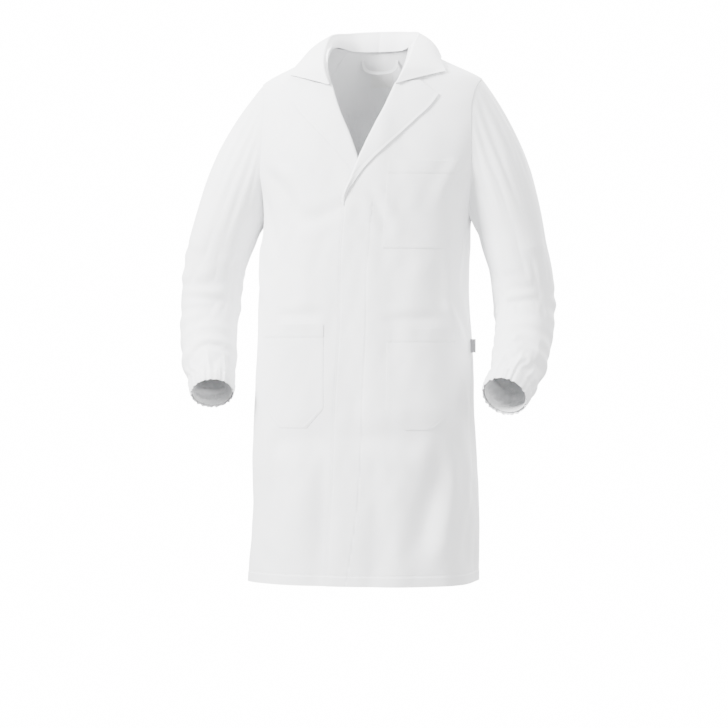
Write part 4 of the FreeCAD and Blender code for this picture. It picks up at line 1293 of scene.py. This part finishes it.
SIM_SLEEVE = {}
for side in (1, -1):
    SIM_SLEEVE[side] = simulate_sleeve(side)

SLEEVE = {}
for side in (1, -1):
    nm = "left" if side > 0 else "right"
    P, Tt, Ss = sleeve_base(side)
    if SIM_SLEEVE.get(side) is not None:
        P = SIM_SLEEVE[side]
    P = upsample(P, True, 2, 2)
    S2 = upsample(np.stack([Ss, Ss, Ss], -1), True, 2, 2)[..., 0]
    T2 = np.arange(NT * 2)[None] * 360.0 / (NT * 2) + 0 * S2
    n = grid_normals(P, True)
    # which way is out
    mid = P.mean(1, keepdims=True)
    flip = ((P - mid) * n).sum(-1).mean() < 0
    if flip:
        n = -n
    if SIM_SLEEVE.get(side) is None:
        P = P + n * gather(side, T2, S2)[..., None]
    # the armhole seam: a dent where the sleeve is set in
    d = (S2 + 1.0) * 260.0
    P = P + n * (pucker(T2 * 2.0, S2, 0.35, 12.0) * np.exp(-((d - 7.0) / 6.0) ** 2))[..., None]
    tuck = P[:1] - n[:1] * 0.5
    c0 = np.array([(200.0) * side + 18.0, 0.0, 835.0])
    tuck = tuck + (c0 - tuck) * 0.02 - np.array([side * 4.0, 0, 0])
    P = np.concatenate([tuck, P])
    S2 = np.concatenate([S2[:1] - 0.02, S2])
    cut = int(np.argmin(np.abs(S2[:, 0] - SLEEVE_SPLIT)))
    nn = grid_normals(P, True) * (-1.0 if flip else 1.0)
    SLEEVE[side] = (P, S2, flip, cut)
    A = cloth_piece("sleeve_%s_upper" % nm, P[:cut + 1], M_CLOTH, T, closed=True, flip=flip, shade=nn[:cut + 1])
    Bq = cloth_piece("sleeve_%s_lower" % nm, P[cut:], M_CLOTH, T, closed=True, flip=flip, shade=nn[cut:])
    x0, x1 = (212.0, 252.0) if side > 0 else (-200.0, -240.0)
    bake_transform(A)
    st = np.array(ARM_L if side > 0 else ARM_R)
    c = np.array([np.interp(SLEEVE_SPLIT + 0.1, range(9), st[:, k]) for k in range(3)])
    e = np.array([np.interp(3.1, range(9), st[:, k]) for k in range(3)])
    ax = st[2, :3] - st[1, :3]
    ax /= np.linalg.norm(ax)
    L = float((e - c) @ ax)
    tuple(metres(c))
    tuple(metres(c + ax * L))
    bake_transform(Bq)
    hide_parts("sleeve_head_" + nm, "upper_sleeve_" + nm)
    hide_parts("forearm_sleeve_" + nm, "cuff_casing_" + nm)
    # the elastic on the inside of the cuff
    tt = np.arange(120) * 3.0
    se = np.linspace(7.2, 7.8, 10)
    TT, SS = np.meshgrid(tt, se)
    Pe = arm_pt(side, TT, SS, -3.2)
    ne = grid_normals(Pe, True)
    fl = ((Pe - Pe.mean(1, keepdims=True)) * ne).sum(-1).mean() < 0
    if fl:
        ne = -ne
    Pe = Pe + ne * (0.5 * np.cos(np.radians(TT * 60)))[..., None]
    ob = cloth_piece("cuff_elastic_band_" + nm, Pe, M_TAPE, 1.2, closed=True, flip=fl)
    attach(ob, nm + "_forearm")
    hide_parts("cuff_elastic_" + nm)

# -------------------------------------------------------------- long stitches
def stitched(name, mats, blend_side=None, bodyname=None):
    ob = mats.make()
    if blend_side is not None:
        door_blend(ob, blend_side)
    else:
        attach(ob, bodyname or "torso")
    return ob


S = Stitches("front_left_topstitch")
z = np.arange(3.0, 734.0, 5.0)
x = tab(EDGE_X, z) + 3.2
stitch_body(S, x, z, off_left(x, z) + hem_band(z) - 0.25)
z = np.arange(3.0, 722.0, 5.0)
x = tab(FLY_X, z)
stitch_body(S, x, z, off_left(x, z) + hem_band(z) - 0.25)
# bar tacks through the placket, between the studs
for zt in (609.0, 423.0, 259.0):
    x = np.linspace(-1.0, 13.0, 8) + float(_tab(FLY_X, zt)) - 14.0
    for dz in (-0.5, 0.4):
        stitch_body(S, x, 0 * x + zt + dz, off_left(x, zt) + 0.12, pitch=1.5, gap=0.25)
# hem
x = None
ph = np.arange(float(phi_at(_tab(EDGE_X, 20.0), 20.0)) + 1.0, 90.0, 1.5)
X = raw(ph, 20.0 + 0 * ph)[:, 0]
stitch_body(S, X, 20.0 + 0 * ph, off_left(X, 20.0) + 0.30, phi=ph)
stitched("s", S, blend_side=1)
S = Stitches("front_right_topstitch")
ph = -np.arange(float(phi_at(_tab(EDGE_X, 20.0), 20.0)) + 1.0, 90.0, 1.5)
stitch_body(S, raw(ph, 20.0 + 0 * ph)[:, 0], 20.0 + 0 * ph, 0.30, phi=ph)
stitched("s", S, blend_side=-1)
S = Stitches("back_topstitch")
for sg in (1, -1):
    ph = sg * np.arange(91.0, 179.5, 1.5)
    stitch_body(S, 0 * ph, 20.0 + 0 * ph, 0.30, phi=ph)
z = np.arange(330.0, 1030.0, 5.0)
stitch_body(S, 0 * z, z, 0.75, phi=180.0 - 8.0 / 2.3 + 0 * z)
z = np.arange(4.0, 330.0, 5.0)
stitch_body(S, 0 * z, z, 1.3, phi=180.0 - 8.0 / 2.3 + 0 * z)
stitched("s", S)

# ---------------------------------------------------------- camera and lights
AZ = math.radians(11.0)
D = 4.5
back = Vector((math.sin(AZ), -math.cos(AZ), 0))
cam = bpy.data.cameras.new("cam")
cam.sensor_width = 36.0
cam.lens = 36.0 * D / (1.94e-3 * 728)
co = bpy.data.objects.new("cam", cam)
bpy.context.scene.collection.objects.link(co)
co.location = back * D + Vector((0, 0, (418.0 - SEAT) / 1000))
co.rotation_euler = (-back).to_track_quat("-Z", "Y").to_euler()
bpy.context.scene.camera = co

w = bpy.data.worlds.new("studio")
w.use_nodes = True
nt = w.node_tree
bg = nt.nodes["Background"]
bg.inputs[0].default_value = (1.0, 1.0, 1.0, 1)
bg.inputs[1].default_value = 1.55
bright = nt.nodes.new("ShaderNodeBackground")
bright.inputs[0].default_value = (1.0, 1.0, 1.0, 1)
bright.inputs[1].default_value = 16.0
lp = nt.nodes.new("ShaderNodeLightPath")
mx = nt.nodes.new("ShaderNodeMixShader")
nt.links.new(lp.outputs["Is Camera Ray"], mx.inputs[0])
nt.links.new(bg.outputs[0], mx.inputs[1])
nt.links.new(bright.outputs[0], mx.inputs[2])
nt.links.new(mx.outputs[0], nt.nodes["World Output"].inputs[0])
bpy.context.scene.world = w


def area(name, loc, target, size, power):
    l = bpy.data.lights.new(name, "AREA")
    l.shape = "RECTANGLE"
    l.size, l.size_y = size
    l.energy = power
    o = bpy.data.objects.new(name, l)
    o.location = loc
    o.rotation_euler = (Vector(target) - Vector(loc)).to_track_quat("-Z", "Y").to_euler()
    bpy.context.scene.collection.objects.link(o)


area("key", (-2.4, -2.2, 1.5), (0, 0, -0.35), (1.1, 1.3), 760)
area("fill", (2.6, -3.0, 0.2), (0, 0, -0.5), (1.6, 2.2), 150)
area("top", (0.2, 0.6, 2.4), (0, 0, -0.3), (1.8, 1.4), 220)
area("rear", (1.6, 3.0, 0.6), (0, 0, -0.5), (1.6, 2.0), 260)

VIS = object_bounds()
print("SIZE", [list(map(float, q)) for q in CAD_BOX], [list(map(float, q)) for q in VIS])
